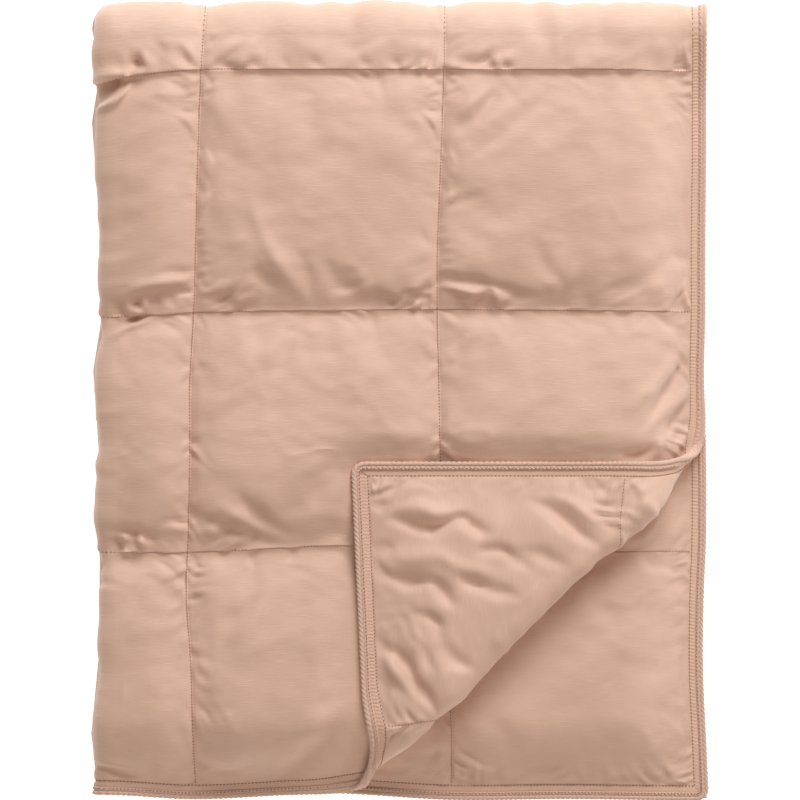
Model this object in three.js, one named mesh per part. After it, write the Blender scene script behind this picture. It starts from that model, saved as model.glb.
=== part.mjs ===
// A quilted throw blanket, folded in quarters, with the loose corner of its top sheet turned back.
//
// The throw is one filled cloth. A point of it is named by where it lies when the throw is spread
// out flat: `across` runs over its width and `along` over its length, both from its middle. The
// first fold is at across = 0 and lies at the left, the second is at along = 0 and lies at the top.
//   across > 0, along < 0   top sheet, its outer side up
//   across < 0, along < 0   second sheet, its inner side up
//   along > 0               the same two sheets, turned under
//
// Millimetres, +Z up, +X to the right and +Y towards the second fold. The origin is at the middle
// of the underside.

import * as THREE from "three";

// The folded packet, the flat throw and its cloth
const PACKET_WIDTH = 650;
const PACKET_LENGTH = 850;
const CROWN_THICK = 17;
const SEAM_THICK = 3;
const HEM_THICK = 2;
const LAYER_GAP = 1.5;
const SHEET_PITCH = CROWN_THICK + LAYER_GAP;
const FIRST_FOLD_R = SHEET_PITCH / 2;
const SECOND_FOLD_R = SHEET_PITCH;
const QUARTER = Math.PI / 2;
const STACK_MIDDLE = SECOND_FOLD_R + FIRST_FOLD_R + CROWN_THICK / 2;
const FIRST_FOLD_X = -PACKET_WIDTH / 2 + CROWN_THICK / 2;
const SECOND_FOLD_Y = PACKET_LENGTH / 2 - STACK_MIDDLE;
const HALF_WIDTH = PACKET_WIDTH / 2 - FIRST_FOLD_X + (QUARTER - 1) * FIRST_FOLD_R;
const HALF_LENGTH = PACKET_LENGTH / 2 + SECOND_FOLD_Y + QUARTER * SECOND_FOLD_R;

// Edge tape, folded over the raw edge: the cloth reaches into it as far as a small clearance
const TAPE_COVER = 9;
const TAPE_WALL = 1.2;
const CLEARANCE = 0.5;
const TAPE_THICK = HEM_THICK + 2 * (CLEARANCE + TAPE_WALL);
const CLOTH_HALF_WIDTH = HALF_WIDTH - TAPE_WALL - CLEARANCE;
const CLOTH_HALF_LENGTH = HALF_LENGTH - TAPE_WALL - CLEARANCE;
const CORNER_R = 12;
const CORNER_STEPS = 3;

// Seams, counted from the middle of the flat throw, and how the filling rises beside them
const SEAMS_ACROSS = [102, 363];
const SEAMS_ALONG = [65, 322, 577];
const HEM_SEAM = 14.5;
const CROWN_REACH = 60;

// Mesh lines beside each seam. None of them meets the hem where the corner rolls over
const FINE_ACROSS = { steps: [8, 24, 51], middle: true };
const FINE_ALONG = { steps: [8, 34, 78], middle: false };
const COARSE_ACROSS = { steps: [12, 51], middle: true };
const COARSE_ALONG = { steps: [12, 67], middle: true };
const HEM_STEPS = [8, 26, 48, 78];
const FOLD_STEPS_ACROSS = 2;
const FOLD_STEPS_ALONG = 3;
const SEAM_LIFT = 4;
const FOLD_PINCH = 0.4;

// Towards the free edges the four sheets press together
const EDGE_PRESS = 0.36;
const FOLD_EDGE_PRESS = 0.7;
const PRESS_REACH = 90;
const FOLD_PRESS_REACH = 110;
const FLOOR_FLATTEN = 3;
const UNDER_INSET = { third: 5, fourth: 3 };

// How the seams and edges that run along the packet wander to the right (+) or left (-), at
// places from the bottom edge to the top edge of the packet
const WANDER_X = [
  { y: -412, fold: -6, inner: -1, outer: 11, edge: 2.5 },
  { y: -358, fold: -4, inner: -3, outer: 11, edge: 0 },
  { y: -283, fold: 1.5, inner: -5, outer: 8, edge: -3.5 },
  { y: -203, fold: 2.5, inner: -10, outer: 5, edge: -2.5 },
  { y: -144, fold: -1, inner: -8, outer: 2, edge: 0 },
  { y: -53, fold: 2, inner: -6, outer: -1, edge: 0 },
  { y: 21, fold: -1.5, inner: -6, outer: -2.5, edge: -2.5 },
  { y: 96, fold: 0, inner: -2, outer: -4, edge: -1 },
  { y: 160, fold: 2.5, inner: 0, outer: -4, edge: -1 },
  { y: 262, fold: -1, inner: 2.5, outer: 0, edge: 0 },
  { y: 353, fold: -5, inner: 6, outer: 3, edge: 0 },
  { y: 422, fold: -4, inner: 10, outer: 4, edge: 0 },
];

// How the seams and the hem that run across the packet wander up (+) or down (-)
const WANDER_Y = [
  { x: -325, first: -17, second: -7, third: -1, hem: 6 },
  { x: -293, first: -8, second: -5, third: -1, hem: 5 },
  { x: -220, first: 0, second: -1, third: -1, hem: 0 },
  { x: -119, first: 0, second: 1, third: 4, hem: 5 },
  { x: -71, first: 0, second: 1.5, third: 6, hem: 6 },
  { x: 42, first: 0, second: 2.5, third: 3, hem: -1 },
  { x: 168, first: 0, second: 1.5, third: 0, hem: 0 },
  { x: 307, first: 0, second: 0, third: -1, hem: -2 },
];

// Uneven filling: waves of the crown, as shares of its thickness
const FILLING_WAVES = [
  { share: 0.05, perAcross: 1 / 210, perAlong: 1 / 330, start: 0.3 },
  { share: 0.04, perAcross: -1 / 140, perAlong: 1 / 190, start: 1.7 },
  { share: 0.03, perAcross: 1 / 95, perAlong: 1 / 120, start: 2.9 },
];

// The turned-back corner. It is folded on a line at 45 degrees. `out` is measured from the packet's
// bottom right corner, square to that line, and `line` along it, up and to the right.
const DIAGONAL = Math.SQRT1_2;
const TURN_R = 11;
const TURN_ARC = Math.PI * TURN_R;
const TURN_STEPS = 8;
const FLAP_SHOWN = 361.4;
const TURN_OUT = -(FLAP_SHOWN / DIAGONAL + TURN_ARC) / 2;
const TURN_FADE_SHEET = 110;
const TURN_FADE_FLAP = 45;
const TURN_SLACK = 6;
const ROLL_SPRING = 5;
const SPRING_FADE = 80;
const FLAP_SETTLE = 80;
const TURN_CUTS_BESIDE = [-45, -18, TURN_ARC + 16, TURN_ARC + 34, TURN_ARC + 60];

// How much wider the tape stands from the cloth where both go round a fold or over the turn, and
// how far past the turn its section stays slanted along the line of the turn
const TAPE_SLACK_FOLD = 0.5;
const TAPE_SLACK_TURN = 0.8;
const TAPE_SLACK_FADE = 60;
const SLANT_HOLD = 19;
const SLANT_FADE = 30;

// How far the rolled edge of the turn is drawn back (-), from its bottom end to its top end
const TURN_DRAW = [
  { line: -295, back: 0 },
  { line: -280, back: -3 },
  { line: -260, back: -10 },
  { line: -238, back: -16 },
  { line: -177, back: -15 },
  { line: -124, back: -11 },
  { line: -36, back: -16 },
  { line: 38, back: -13 },
  { line: 91, back: -8 },
  { line: 123, back: 1 },
  { line: 150, back: 0 },
  { line: 195, back: -2 },
  { line: 250, back: -11 },
  { line: 275, back: -3 },
  { line: 290, back: 0 },
];

// How the turned-back flap is pulled out of square, over its own width and height
const FLAP_PULL_X = [
  { x: -36, tip: -18, foot: -3.5 },
  { x: 229, tip: 9, foot: 9 },
  { x: 300, tip: 0, foot: 0 },
];
const FLAP_PULL_Y = [
  { y: -400, up: 0 },
  { y: -347, up: 7 },
  { y: -63, up: 0 },
];
const FLAP_TIP_Y = -80;
const FLAP_FOOT_Y = -400;

// Crossing points of a cut closer than this to a mesh corner use that corner
const SNAP = 1.5;
const PROBE = 0.5;

const CLOTH_COLOUR = 0xe3bca6;
const TAPE_COLOUR = 0xdfb7a3;

function clamp(value, low, high) {
  return Math.min(Math.max(value, low), high);
}

function smooth(value) {
  const f = clamp(value, 0, 1);
  return f * f * (3 - 2 * f);
}

// One column of a table at a place between its rows, on a soft curve through them.
function follow(rows, key, place, column) {
  const last = rows.length - 1;
  const at = clamp(place, rows[0][key], rows[last][key]);
  let i = 0;
  while (i < last - 1 && rows[i + 1][key] < at) i += 1;
  const slope = (j) => {
    const before = rows[Math.max(j - 1, 0)];
    const after = rows[Math.min(j + 1, last)];
    return (after[column] - before[column]) / (after[key] - before[key]);
  };
  const span = rows[i + 1][key] - rows[i][key];
  const f = (at - rows[i][key]) / span;
  const rise = f * f * (3 - 2 * f);
  const bow = f * (1 - f) * span;
  return (
    rows[i][column] * (1 - rise) +
    rows[i + 1][column] * rise +
    bow * ((1 - f) * slope(i) - f * slope(i + 1))
  );
}

// A value that changes in straight steps between stops.
function between(stops, values, at) {
  let i = 0;
  while (i < stops.length - 2 && stops[i + 1] < at) i += 1;
  const f = clamp((at - stops[i]) / (stops[i + 1] - stops[i]), 0, 1);
  return values[i] * (1 - f) + values[i + 1] * f;
}

const EDGE_SEAM_ACROSS = CLOTH_HALF_WIDTH - HEM_SEAM;
const EDGE_SEAM_ALONG = CLOTH_HALF_LENGTH - HEM_SEAM;

function toNearestSeam(distance, seams, edgeSeam) {
  const gaps = [...seams, edgeSeam].map((seam) => Math.abs(distance - seam));
  return distance > edgeSeam ? 0 : Math.min(...gaps);
}

// How full a panel is at a distance from its seam, 0 in the seam and 1 on the crown.
function fullness(distance) {
  return Math.sqrt(1 - (1 - clamp(distance / CROWN_REACH, 0, 1)) ** 2);
}

// How much the sheets are pressed together at a place, 1 where they lie free.
function press(across, along) {
  const nearFold = Math.max(
    smooth(1 - across / FOLD_PRESS_REACH),
    smooth(1 - along / FOLD_PRESS_REACH),
  );
  const least = EDGE_PRESS + (FOLD_EDGE_PRESS - EDGE_PRESS) * nearFold;
  const free = smooth((HALF_WIDTH - across) / PRESS_REACH) * smooth((HALF_LENGTH - along) / PRESS_REACH);
  return least + (1 - least) * free;
}

// The same, at a place of the folded packet.
function pressAt(x, y) {
  const across = x - FIRST_FOLD_X + (QUARTER - 1) * FIRST_FOLD_R;
  const along = SECOND_FOLD_Y - y + QUARTER * SECOND_FOLD_R;
  return press(Math.max(across, 0), Math.max(along, 0));
}

function fillingShare(across, along) {
  return FILLING_WAVES.reduce((share, wave) => {
    const phase = 2 * Math.PI * (across * wave.perAcross + along * wave.perAlong) + wave.start;
    return share - (wave.share * (1 - Math.sin(phase))) / 2;
  }, 1);
}

// How far a place is turned round a fold of the given arc, from 0 beside it to 1 in its middle.
function bend(past, arc) {
  return past > 0 && past < arc ? Math.sin((Math.PI * past) / arc) : 0;
}

function bends(across, along) {
  const past = flatOut({ across, along }) - TURN_OUT;
  const onTop = across > 0 && along < 0;
  return {
    first: bend(across + QUARTER * FIRST_FOLD_R, Math.PI * FIRST_FOLD_R),
    second: bend(along + QUARTER * SECOND_FOLD_R, Math.PI * SECOND_FOLD_R),
    turn: onTop ? bend(past, TURN_ARC) : 0,
    beyondTurn: onTop ? Math.max(-past, past - TURN_ARC, 0) : Infinity,
  };
}

// How thick the cloth is to each side of its middle. The filling gives way on the inside of a fold.
function thickness(across, along) {
  const half = halfThickness(across, along);
  const { first, second, turn } = bends(across, along);
  return {
    outer: half * (1 - FOLD_PINCH * Math.max(turn, across < 0 ? second : 0)),
    inner: half * (1 - FOLD_PINCH * Math.max(first, across > 0 ? second : 0)),
  };
}

// Half the thickness of the cloth at a place, away from the folds.
function halfThickness(across, along) {
  const a = Math.abs(across);
  const l = Math.abs(along);
  const inside = Math.min(EDGE_SEAM_ACROSS - a, EDGE_SEAM_ALONG - l);
  if (inside <= 0) return HEM_THICK / 2;
  const full =
    fullness(toNearestSeam(a, SEAMS_ACROSS, EDGE_SEAM_ACROSS)) *
    fullness(toNearestSeam(l, SEAMS_ALONG, EDGE_SEAM_ALONG));
  const rise = (CROWN_THICK - SEAM_THICK) * full * press(a, l) * fillingShare(across, along);
  return (SEAM_THICK + rise) / 2;
}

// The middle of a sheet, with its height in the stack of four before they are pressed together.
function foldTwice(across, along) {
  const a = Math.abs(across);
  const l = Math.abs(along);
  const firstArc = QUARTER * FIRST_FOLD_R;
  const secondArc = QUARTER * SECOND_FOLD_R;
  const firstAngle = clamp(across / FIRST_FOLD_R, -QUARTER, QUARTER);
  const secondAngle = clamp(along / SECOND_FOLD_R, -QUARTER, QUARTER);
  const beside = FIRST_FOLD_R * Math.sin(firstAngle);
  const loopR = SECOND_FOLD_R + beside;
  // A seam that runs round a fold stands out with it, so that it notches the edge only a little
  const notchFirst = 1 - toNearestSeam(l, SEAMS_ALONG, EDGE_SEAM_ALONG) / CROWN_REACH;
  const notchSecond = 1 - toNearestSeam(a, SEAMS_ACROSS, EDGE_SEAM_ACROSS) / CROWN_REACH;
  const outFirst = SEAM_LIFT * Math.max(notchFirst, 0) ** 2 * Math.cos(firstAngle);
  const outSecond = SEAM_LIFT * Math.max(notchSecond, 0) ** 2 * Math.cos(secondAngle);
  return {
    x: FIRST_FOLD_X + FIRST_FOLD_R * (1 - Math.cos(firstAngle)) + Math.max(a - firstArc, 0) - outFirst,
    y: SECOND_FOLD_Y + loopR * Math.cos(secondAngle) - Math.max(l - secondArc, 0) + outSecond,
    z: STACK_MIDDLE - loopR * Math.sin(secondAngle),
  };
}

function pressedHeight(z, pressing) {
  return z * pressing - (FLOOR_FLATTEN * (pressing - EDGE_PRESS)) / (1 - EDGE_PRESS);
}

// The middle of the cloth at a place of the flat throw, as it lies folded.
function middle(across, along) {
  const a = Math.abs(across);
  const l = Math.abs(along);
  const folded = foldTwice(across, along);
  const sideways = between(
    [0, ...SEAMS_ACROSS, HALF_WIDTH],
    ["fold", "inner", "outer", "edge"].map((column) => follow(WANDER_X, "y", folded.y, column)),
    a,
  );
  const upwards = between(
    [0, ...SEAMS_ALONG, HALF_LENGTH],
    [0, ...["first", "second", "third", "hem"].map((column) => follow(WANDER_Y, "x", folded.x, column))],
    l,
  );
  const onThird = smooth(-across / FOLD_PRESS_REACH);
  const inset = along > 0 ? UNDER_INSET.fourth + (UNDER_INSET.third - UNDER_INSET.fourth) * onThird : 0;
  const insetAcross = inset * smooth(a / HALF_WIDTH) * smooth(l / FOLD_PRESS_REACH);
  const insetAlong = inset * smooth(l / HALF_LENGTH);
  if (across > 0 && along < 0) return turnBack(folded, sideways, upwards);
  const x = folded.x + sideways - insetAcross;
  const y = folded.y + upwards + insetAlong;
  return new THREE.Vector3(x, y, pressedHeight(folded.z, pressAt(x, y)));
}

// The top sheet: past the diagonal line it rolls over and lies face down on itself.
function turnBack(folded, sideways, upwards) {
  const fromRight = folded.x - PACKET_WIDTH / 2;
  const fromBottom = folded.y + PACKET_LENGTH / 2;
  const out = (fromRight - fromBottom) * DIAGONAL;
  const line = (fromRight + fromBottom) * DIAGONAL;
  const past = out - TURN_OUT;
  const turned = clamp((Math.PI * past) / TURN_ARC, 0, Math.PI);
  const onFlap = smooth((past - TURN_ARC / 2) / FLAP_SETTLE);

  const fade = past < TURN_ARC / 2
    ? smooth(1 + (past - TURN_ARC / 2) / TURN_FADE_SHEET)
    : smooth(1 - (past - TURN_ARC / 2) / TURN_FADE_FLAP);
  const drawn = follow(TURN_DRAW, "line", line, "back") * fade;
  const placed = Math.min(past, 0) + TURN_R * Math.sin(turned) - Math.max(past - TURN_ARC, 0);
  const newOut = TURN_OUT + placed + drawn;

  let x = PACKET_WIDTH / 2 + (line + newOut) * DIAGONAL;
  let y = -PACKET_LENGTH / 2 + (line - newOut) * DIAGONAL;
  const towardsTip = clamp((y - FLAP_FOOT_Y) / (FLAP_TIP_Y - FLAP_FOOT_Y), 0, 1);
  const pullX =
    follow(FLAP_PULL_X, "x", x, "foot") * (1 - towardsTip) + follow(FLAP_PULL_X, "x", x, "tip") * towardsTip;
  const pullY = follow(FLAP_PULL_Y, "y", y, "up");
  x += pullX * onFlap + sideways * (1 - onFlap);
  y += pullY * onFlap + upwards * (1 - onFlap);

  // The flap lies on the top sheet, which is pressed as the packet is where the flap comes to rest
  const under = pressAt(x, y);
  const crownRise = ((CROWN_THICK - SEAM_THICK) / 2) * (under + pressAt(folded.x, folded.y));
  const spring = ROLL_SPRING * smooth(1 - (past - TURN_ARC) / SPRING_FADE) + TURN_SLACK * (1 - under);
  const rise = (SEAM_THICK + LAYER_GAP + crownRise + spring) * (1 - Math.cos(turned)) / 2;
  return new THREE.Vector3(x, y, pressedHeight(folded.z, under) + rise);
}

// A point of the cloth at a height above its middle, measured towards its outer side.
function inCloth(across, along, height) {
  const east = middle(across + PROBE, along).sub(middle(across - PROBE, along));
  const north = middle(across, along + PROBE).sub(middle(across, along - PROBE));
  const outward = east.cross(north).normalize();
  const point = middle(across, along).addScaledVector(outward, height);
  point.z = Math.max(point.z, 0);
  return point;
}

// Mesh lines over half of the flat throw: round the fold, on the seams and in steps beside them.
function meshLines({ foldArc, foldSteps, seams, edgeSeam, edge }, { steps, middle: withMiddle }) {
  const lines = [];
  for (let i = 1; i <= foldSteps; i += 1) lines.push((foldArc * i) / foldSteps);
  const clearOfFold = foldArc + steps[0];
  const stops = [0, ...seams, edgeSeam];
  for (let i = 1; i < stops.length; i += 1) {
    const from = stops[i - 1];
    const to = stops[i];
    const middleOfPanel = from === 0 ? (foldArc + to) / 2 : (from + to) / 2;
    const stepsBefore = to === edgeSeam ? HEM_STEPS : steps;
    const after = steps.map((step) => from + step).filter((place) => from > 0 && place < middleOfPanel);
    const before = stepsBefore.map((step) => to - step).filter((place) => place > middleOfPanel).reverse();
    const inPanel = [...after, ...(withMiddle ? [middleOfPanel] : []), ...before];
    lines.push(...inPanel.filter((place) => place > clearOfFold));
    if (to !== edgeSeam) lines.push(to);
  }
  lines.push(edge - CORNER_R, edge);
  return lines;
}

function bothSides(low, high) {
  return [...low.map((place) => -place).reverse(), 0, ...high];
}

function crossing(a, b, distanceA, distanceB) {
  const swap = a.across > b.across || (a.across === b.across && a.along > b.along);
  const [p, q, dp, dq] = swap ? [b, a, distanceB, distanceA] : [a, b, distanceA, distanceB];
  const f = dp / (dp - dq);
  return { across: p.across + (q.across - p.across) * f, along: p.along + (q.along - p.along) * f };
}

// A convex piece cut by a line, as one piece or two.
function cut(piece, distanceTo) {
  const distances = piece.map((point) => {
    const distance = distanceTo(point);
    return Math.abs(distance) < SNAP ? 0 : distance;
  });
  const whole = distances.every((distance) => distance <= 0) || distances.every((distance) => distance >= 0);
  if (whole) return [piece];
  const near = [];
  const past = [];
  piece.forEach((point, i) => {
    const j = (i + 1) % piece.length;
    if (distances[i] <= 0) near.push(point);
    if (distances[i] >= 0) past.push(point);
    if (distances[i] * distances[j] < 0) {
      const met = crossing(point, piece[j], distances[i], distances[j]);
      near.push(met);
      past.push(met);
    }
  });
  return [near, past];
}

// The flat throw as convex pieces, with round corners and cuts along the diagonal turn.
function flatPieces() {
  const sizesAcross = {
    foldArc: QUARTER * FIRST_FOLD_R,
    foldSteps: FOLD_STEPS_ACROSS,
    seams: SEAMS_ACROSS,
    edgeSeam: EDGE_SEAM_ACROSS,
    edge: CLOTH_HALF_WIDTH,
  };
  const sizesAlong = {
    foldArc: QUARTER * SECOND_FOLD_R,
    foldSteps: FOLD_STEPS_ALONG,
    seams: SEAMS_ALONG,
    edgeSeam: EDGE_SEAM_ALONG,
    edge: CLOTH_HALF_LENGTH,
  };
  const acrossLines = bothSides(meshLines(sizesAcross, COARSE_ACROSS), meshLines(sizesAcross, FINE_ACROSS));
  const alongLines = bothSides(meshLines(sizesAlong, FINE_ALONG), meshLines(sizesAlong, COARSE_ALONG));
  let pieces = [];
  for (let i = 1; i < acrossLines.length; i += 1) {
    for (let j = 1; j < alongLines.length; j += 1) {
      pieces.push([
        { across: acrossLines[i - 1], along: alongLines[j - 1] },
        { across: acrossLines[i], along: alongLines[j - 1] },
        { across: acrossLines[i], along: alongLines[j] },
        { across: acrossLines[i - 1], along: alongLines[j] },
      ]);
    }
  }
  for (const sideAcross of [-1, 1]) {
    for (const sideAlong of [-1, 1]) {
      pieces = pieces.flatMap((piece) => roundCorner(piece, sideAcross, sideAlong));
    }
  }
  const turnCuts = [...TURN_CUTS_BESIDE];
  for (let step = 0; step <= TURN_STEPS; step += 1) turnCuts.push((TURN_ARC * step) / TURN_STEPS);
  for (const past of turnCuts) {
    pieces = pieces.flatMap((piece) => {
      const onTopSheet = piece.every((point) => point.across >= 0 && point.along <= 0);
      return onTopSheet ? cut(piece, (point) => flatOut(point) - TURN_OUT - past) : [piece];
    });
  }
  return pieces;
}

// How far out towards the loose corner a place of the top sheet lies before it is turned back.
function flatOut(point) {
  return (point.across - HALF_WIDTH - (point.along + HALF_LENGTH)) * DIAGONAL;
}

function roundCorner(piece, sideAcross, sideAlong) {
  const centreAcross = CLOTH_HALF_WIDTH - CORNER_R;
  const centreAlong = CLOTH_HALF_LENGTH - CORNER_R;
  const inCorner = piece.every(
    (point) => point.across * sideAcross >= centreAcross - SNAP && point.along * sideAlong >= centreAlong - SNAP,
  );
  if (!inCorner) return [piece];
  const centre = { across: centreAcross * sideAcross, along: centreAlong * sideAlong };
  const arc = [];
  for (let step = 0; step <= CORNER_STEPS; step += 1) {
    const angle = (QUARTER * step) / CORNER_STEPS;
    arc.push({
      across: centre.across + sideAcross * CORNER_R * Math.cos(angle),
      along: centre.along + sideAlong * CORNER_R * Math.sin(angle),
    });
  }
  if (sideAcross * sideAlong < 0) arc.reverse();
  return [[centre, ...arc]];
}

function keyOf(point) {
  return `${point.across.toFixed(2)},${point.along.toFixed(2)}`;
}

// The outline of the cut pieces, as one ring of places that runs round it anticlockwise.
function outlineOf(pieces) {
  const next = new Map();
  const edges = new Set();
  for (const piece of pieces) {
    piece.forEach((point, i) => edges.add(`${keyOf(point)}|${keyOf(piece[(i + 1) % piece.length])}`));
  }
  for (const piece of pieces) {
    piece.forEach((point, i) => {
      const after = piece[(i + 1) % piece.length];
      if (!edges.has(`${keyOf(after)}|${keyOf(point)}`)) next.set(keyOf(point), after);
    });
  }
  const ring = [];
  let [key, point] = next.entries().next().value;
  const first = key;
  do {
    ring.push(point);
    key = keyOf(point);
    point = next.get(key);
  } while (key !== first);
  return ring;
}

// Triangles for a convex face, parted again and again over its shortest diagonal.
function triangles(corners, positions) {
  if (corners.length === 3) return [corners];
  let best = null;
  for (let i = 0; i < corners.length - 2; i += 1) {
    const last = i === 0 ? corners.length - 2 : corners.length - 1;
    for (let j = i + 2; j <= last; j += 1) {
      const length = positions[corners[i]].distanceTo(positions[corners[j]]);
      if (best === null || length < best.length) best = { i, j, length };
    }
  }
  const inside = corners.slice(best.i, best.j + 1);
  const outside = [...corners.slice(0, best.i + 1), ...corners.slice(best.j)];
  return [...triangles(inside, positions), ...triangles(outside, positions)];
}

function meshOf(name, positions, faces, material) {
  const geometry = new THREE.BufferGeometry();
  geometry.setFromPoints(positions);
  geometry.setIndex(faces.flat());
  geometry.computeVertexNormals();
  const mesh = new THREE.Mesh(geometry, material);
  mesh.name = name;
  return mesh;
}

// The filled cloth: an outer and an inner face over the same pieces, and a wall round its edge.
function makeQuilt(pieces, outline) {
  const positions = [];
  const outer = new Map();
  const inner = new Map();
  for (const point of pieces.flat()) {
    const key = keyOf(point);
    if (outer.has(key)) continue;
    const half = thickness(point.across, point.along);
    outer.set(key, positions.push(inCloth(point.across, point.along, half.outer)) - 1);
    inner.set(key, positions.push(inCloth(point.across, point.along, -half.inner)) - 1);
  }
  const faces = [];
  for (const piece of pieces) {
    const keys = piece.map(keyOf);
    faces.push(...triangles(keys.map((key) => outer.get(key)), positions));
    faces.push(...triangles(keys.map((key) => inner.get(key)).reverse(), positions));
  }
  outline.forEach((point, i) => {
    const here = keyOf(point);
    const there = keyOf(outline[(i + 1) % outline.length]);
    faces.push([outer.get(here), inner.get(here), inner.get(there)]);
    faces.push([outer.get(here), inner.get(there), outer.get(there)]);
  });
  const material = new THREE.MeshStandardMaterial({ color: CLOTH_COLOUR, roughness: 0.75, metalness: 0 });
  return meshOf("quilt", positions, faces, material);
}

// Which way is out of the cloth at a place on its outline. On the diagonal turn it slants along the
// line of the turn, so that tape and cloth roll over together.
function outwards(point) {
  const overAcross = Math.abs(point.across) - (CLOTH_HALF_WIDTH - CORNER_R);
  const overAlong = Math.abs(point.along) - (CLOTH_HALF_LENGTH - CORNER_R);
  const across = Math.sign(point.across) * Math.max(overAcross, 0);
  const along = Math.sign(point.along) * Math.max(overAlong, 0);
  const length = Math.hypot(across, along);
  const slant = smooth(1 - (bends(point.across, point.along).beyondTurn - SLANT_HOLD) / SLANT_FADE);
  return { across: (across + along * slant) / length, along: (along + across * slant) / length };
}

// The tape: a band folded round the edge, its section carried along the outline of the cloth.
function makeTape(outline) {
  const nose = CLEARANCE + TAPE_WALL;
  const lip = nose - TAPE_COVER;
  const high = TAPE_THICK / 2;
  const slot = high - TAPE_WALL;
  const section = [
    { out: lip, height: high },
    { out: lip, height: slot },
    { out: CLEARANCE, height: slot },
    { out: CLEARANCE, height: -slot },
    { out: lip, height: -slot },
    { out: lip, height: -high },
    { out: CLEARANCE, height: -high },
    { out: nose, height: -high / 2 },
    { out: nose, height: high / 2 },
    { out: CLEARANCE, height: high },
  ];
  const positions = outline.flatMap((point) => {
    const way = outwards(point);
    const { first, second, beyondTurn } = bends(point.across, point.along);
    const turnSlack = TAPE_SLACK_TURN * smooth(1 - beyondTurn / TAPE_SLACK_FADE);
    const slack = Math.max(TAPE_SLACK_FOLD * Math.max(first, second), turnSlack);
    return section.map(({ out, height }) => {
      const reach = out > 0 ? out + turnSlack : out;
      const across = point.across + way.across * reach;
      const along = point.along + way.along * reach;
      return inCloth(across, along, height + slack * Math.sign(height));
    });
  });
  const faces = [];
  const sides = section.length;
  outline.forEach((point, i) => {
    const next = (i + 1) % outline.length;
    for (let side = 0; side < sides; side += 1) {
      const other = (side + 1) % sides;
      const corners = [i * sides + side, next * sides + side, next * sides + other, i * sides + other];
      faces.push(...triangles(corners, positions));
    }
  });
  const material = new THREE.MeshStandardMaterial({ color: TAPE_COLOUR, roughness: 0.85, metalness: 0 });
  return meshOf("edge_tape", positions, faces, material);
}

const pieces = flatPieces();
const outline = outlineOf(pieces);
const throwBlanket = new THREE.Group();
throwBlanket.name = "folded_throw_blanket";
throwBlanket.add(makeQuilt(pieces, outline), makeTape(outline));

// The origin goes to the middle of the packet's own box, at the surface that it rests on
const box = new THREE.Box3().setFromObject(throwBlanket);
for (const mesh of throwBlanket.children) {
  mesh.geometry.translate(-(box.min.x + box.max.x) / 2, -(box.min.y + box.max.y) / 2, -box.min.z);
}

export default throwBlanket;
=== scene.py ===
# A quilted throw blanket, folded in quarters, with the loose corner of its top sheet turned back.
#
# The throw is one filled cloth. A point of it is named by where it lies when the throw is spread
# out flat: `across` runs over its width and `along` over its length, both from its middle. The
# first fold is at across = 0 and lies at the left, the second is at along = 0 and lies at the top.
#   across > 0, along < 0   top sheet, its outer side up
#   across < 0, along < 0   second sheet, its inner side up
#   along > 0               the same two sheets, turned under
#
# Named sizes are in millimetres. A mesh is made in metres.

import math

import bpy
import numpy as np
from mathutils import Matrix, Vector


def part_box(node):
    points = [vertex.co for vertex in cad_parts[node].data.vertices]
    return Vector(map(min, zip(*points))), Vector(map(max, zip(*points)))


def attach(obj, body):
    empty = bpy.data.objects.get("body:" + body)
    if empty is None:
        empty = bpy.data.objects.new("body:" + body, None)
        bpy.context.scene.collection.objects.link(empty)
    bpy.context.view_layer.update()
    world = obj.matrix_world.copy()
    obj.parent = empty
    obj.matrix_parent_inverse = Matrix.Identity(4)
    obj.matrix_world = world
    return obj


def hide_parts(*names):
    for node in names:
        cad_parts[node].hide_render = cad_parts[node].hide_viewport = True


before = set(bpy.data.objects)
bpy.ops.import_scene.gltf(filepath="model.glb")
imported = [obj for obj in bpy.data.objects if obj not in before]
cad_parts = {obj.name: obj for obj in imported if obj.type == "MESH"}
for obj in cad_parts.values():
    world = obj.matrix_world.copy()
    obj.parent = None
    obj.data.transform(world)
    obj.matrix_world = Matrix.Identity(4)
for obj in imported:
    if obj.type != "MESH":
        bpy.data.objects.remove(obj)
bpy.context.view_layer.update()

MM = 0.001

# The folded packet, the flat throw and its cloth
PACKET_WIDTH = 650
PACKET_LENGTH = 850
CROWN_THICK = 17
SEAM_THICK = 3
HEM_THICK = 2
LAYER_GAP = 1.5
SHEET_PITCH = CROWN_THICK + LAYER_GAP
FIRST_FOLD_R = SHEET_PITCH / 2
SECOND_FOLD_R = SHEET_PITCH
QUARTER = math.pi / 2
STACK_MIDDLE = SECOND_FOLD_R + FIRST_FOLD_R + CROWN_THICK / 2
FIRST_FOLD_X = -PACKET_WIDTH / 2 + CROWN_THICK / 2
SECOND_FOLD_Y = PACKET_LENGTH / 2 - STACK_MIDDLE
HALF_WIDTH = PACKET_WIDTH / 2 - FIRST_FOLD_X + (QUARTER - 1) * FIRST_FOLD_R
HALF_LENGTH = PACKET_LENGTH / 2 + SECOND_FOLD_Y + QUARTER * SECOND_FOLD_R

# Edge tape, folded over the raw edge
TAPE_COVER = 9
TAPE_WALL = 1.2
CLEARANCE = 0.5
TAPE_THICK = HEM_THICK + 2 * (CLEARANCE + TAPE_WALL)
CLOTH_HALF_WIDTH = HALF_WIDTH - TAPE_WALL - CLEARANCE
CLOTH_HALF_LENGTH = HALF_LENGTH - TAPE_WALL - CLEARANCE
CORNER_R = 12

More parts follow.
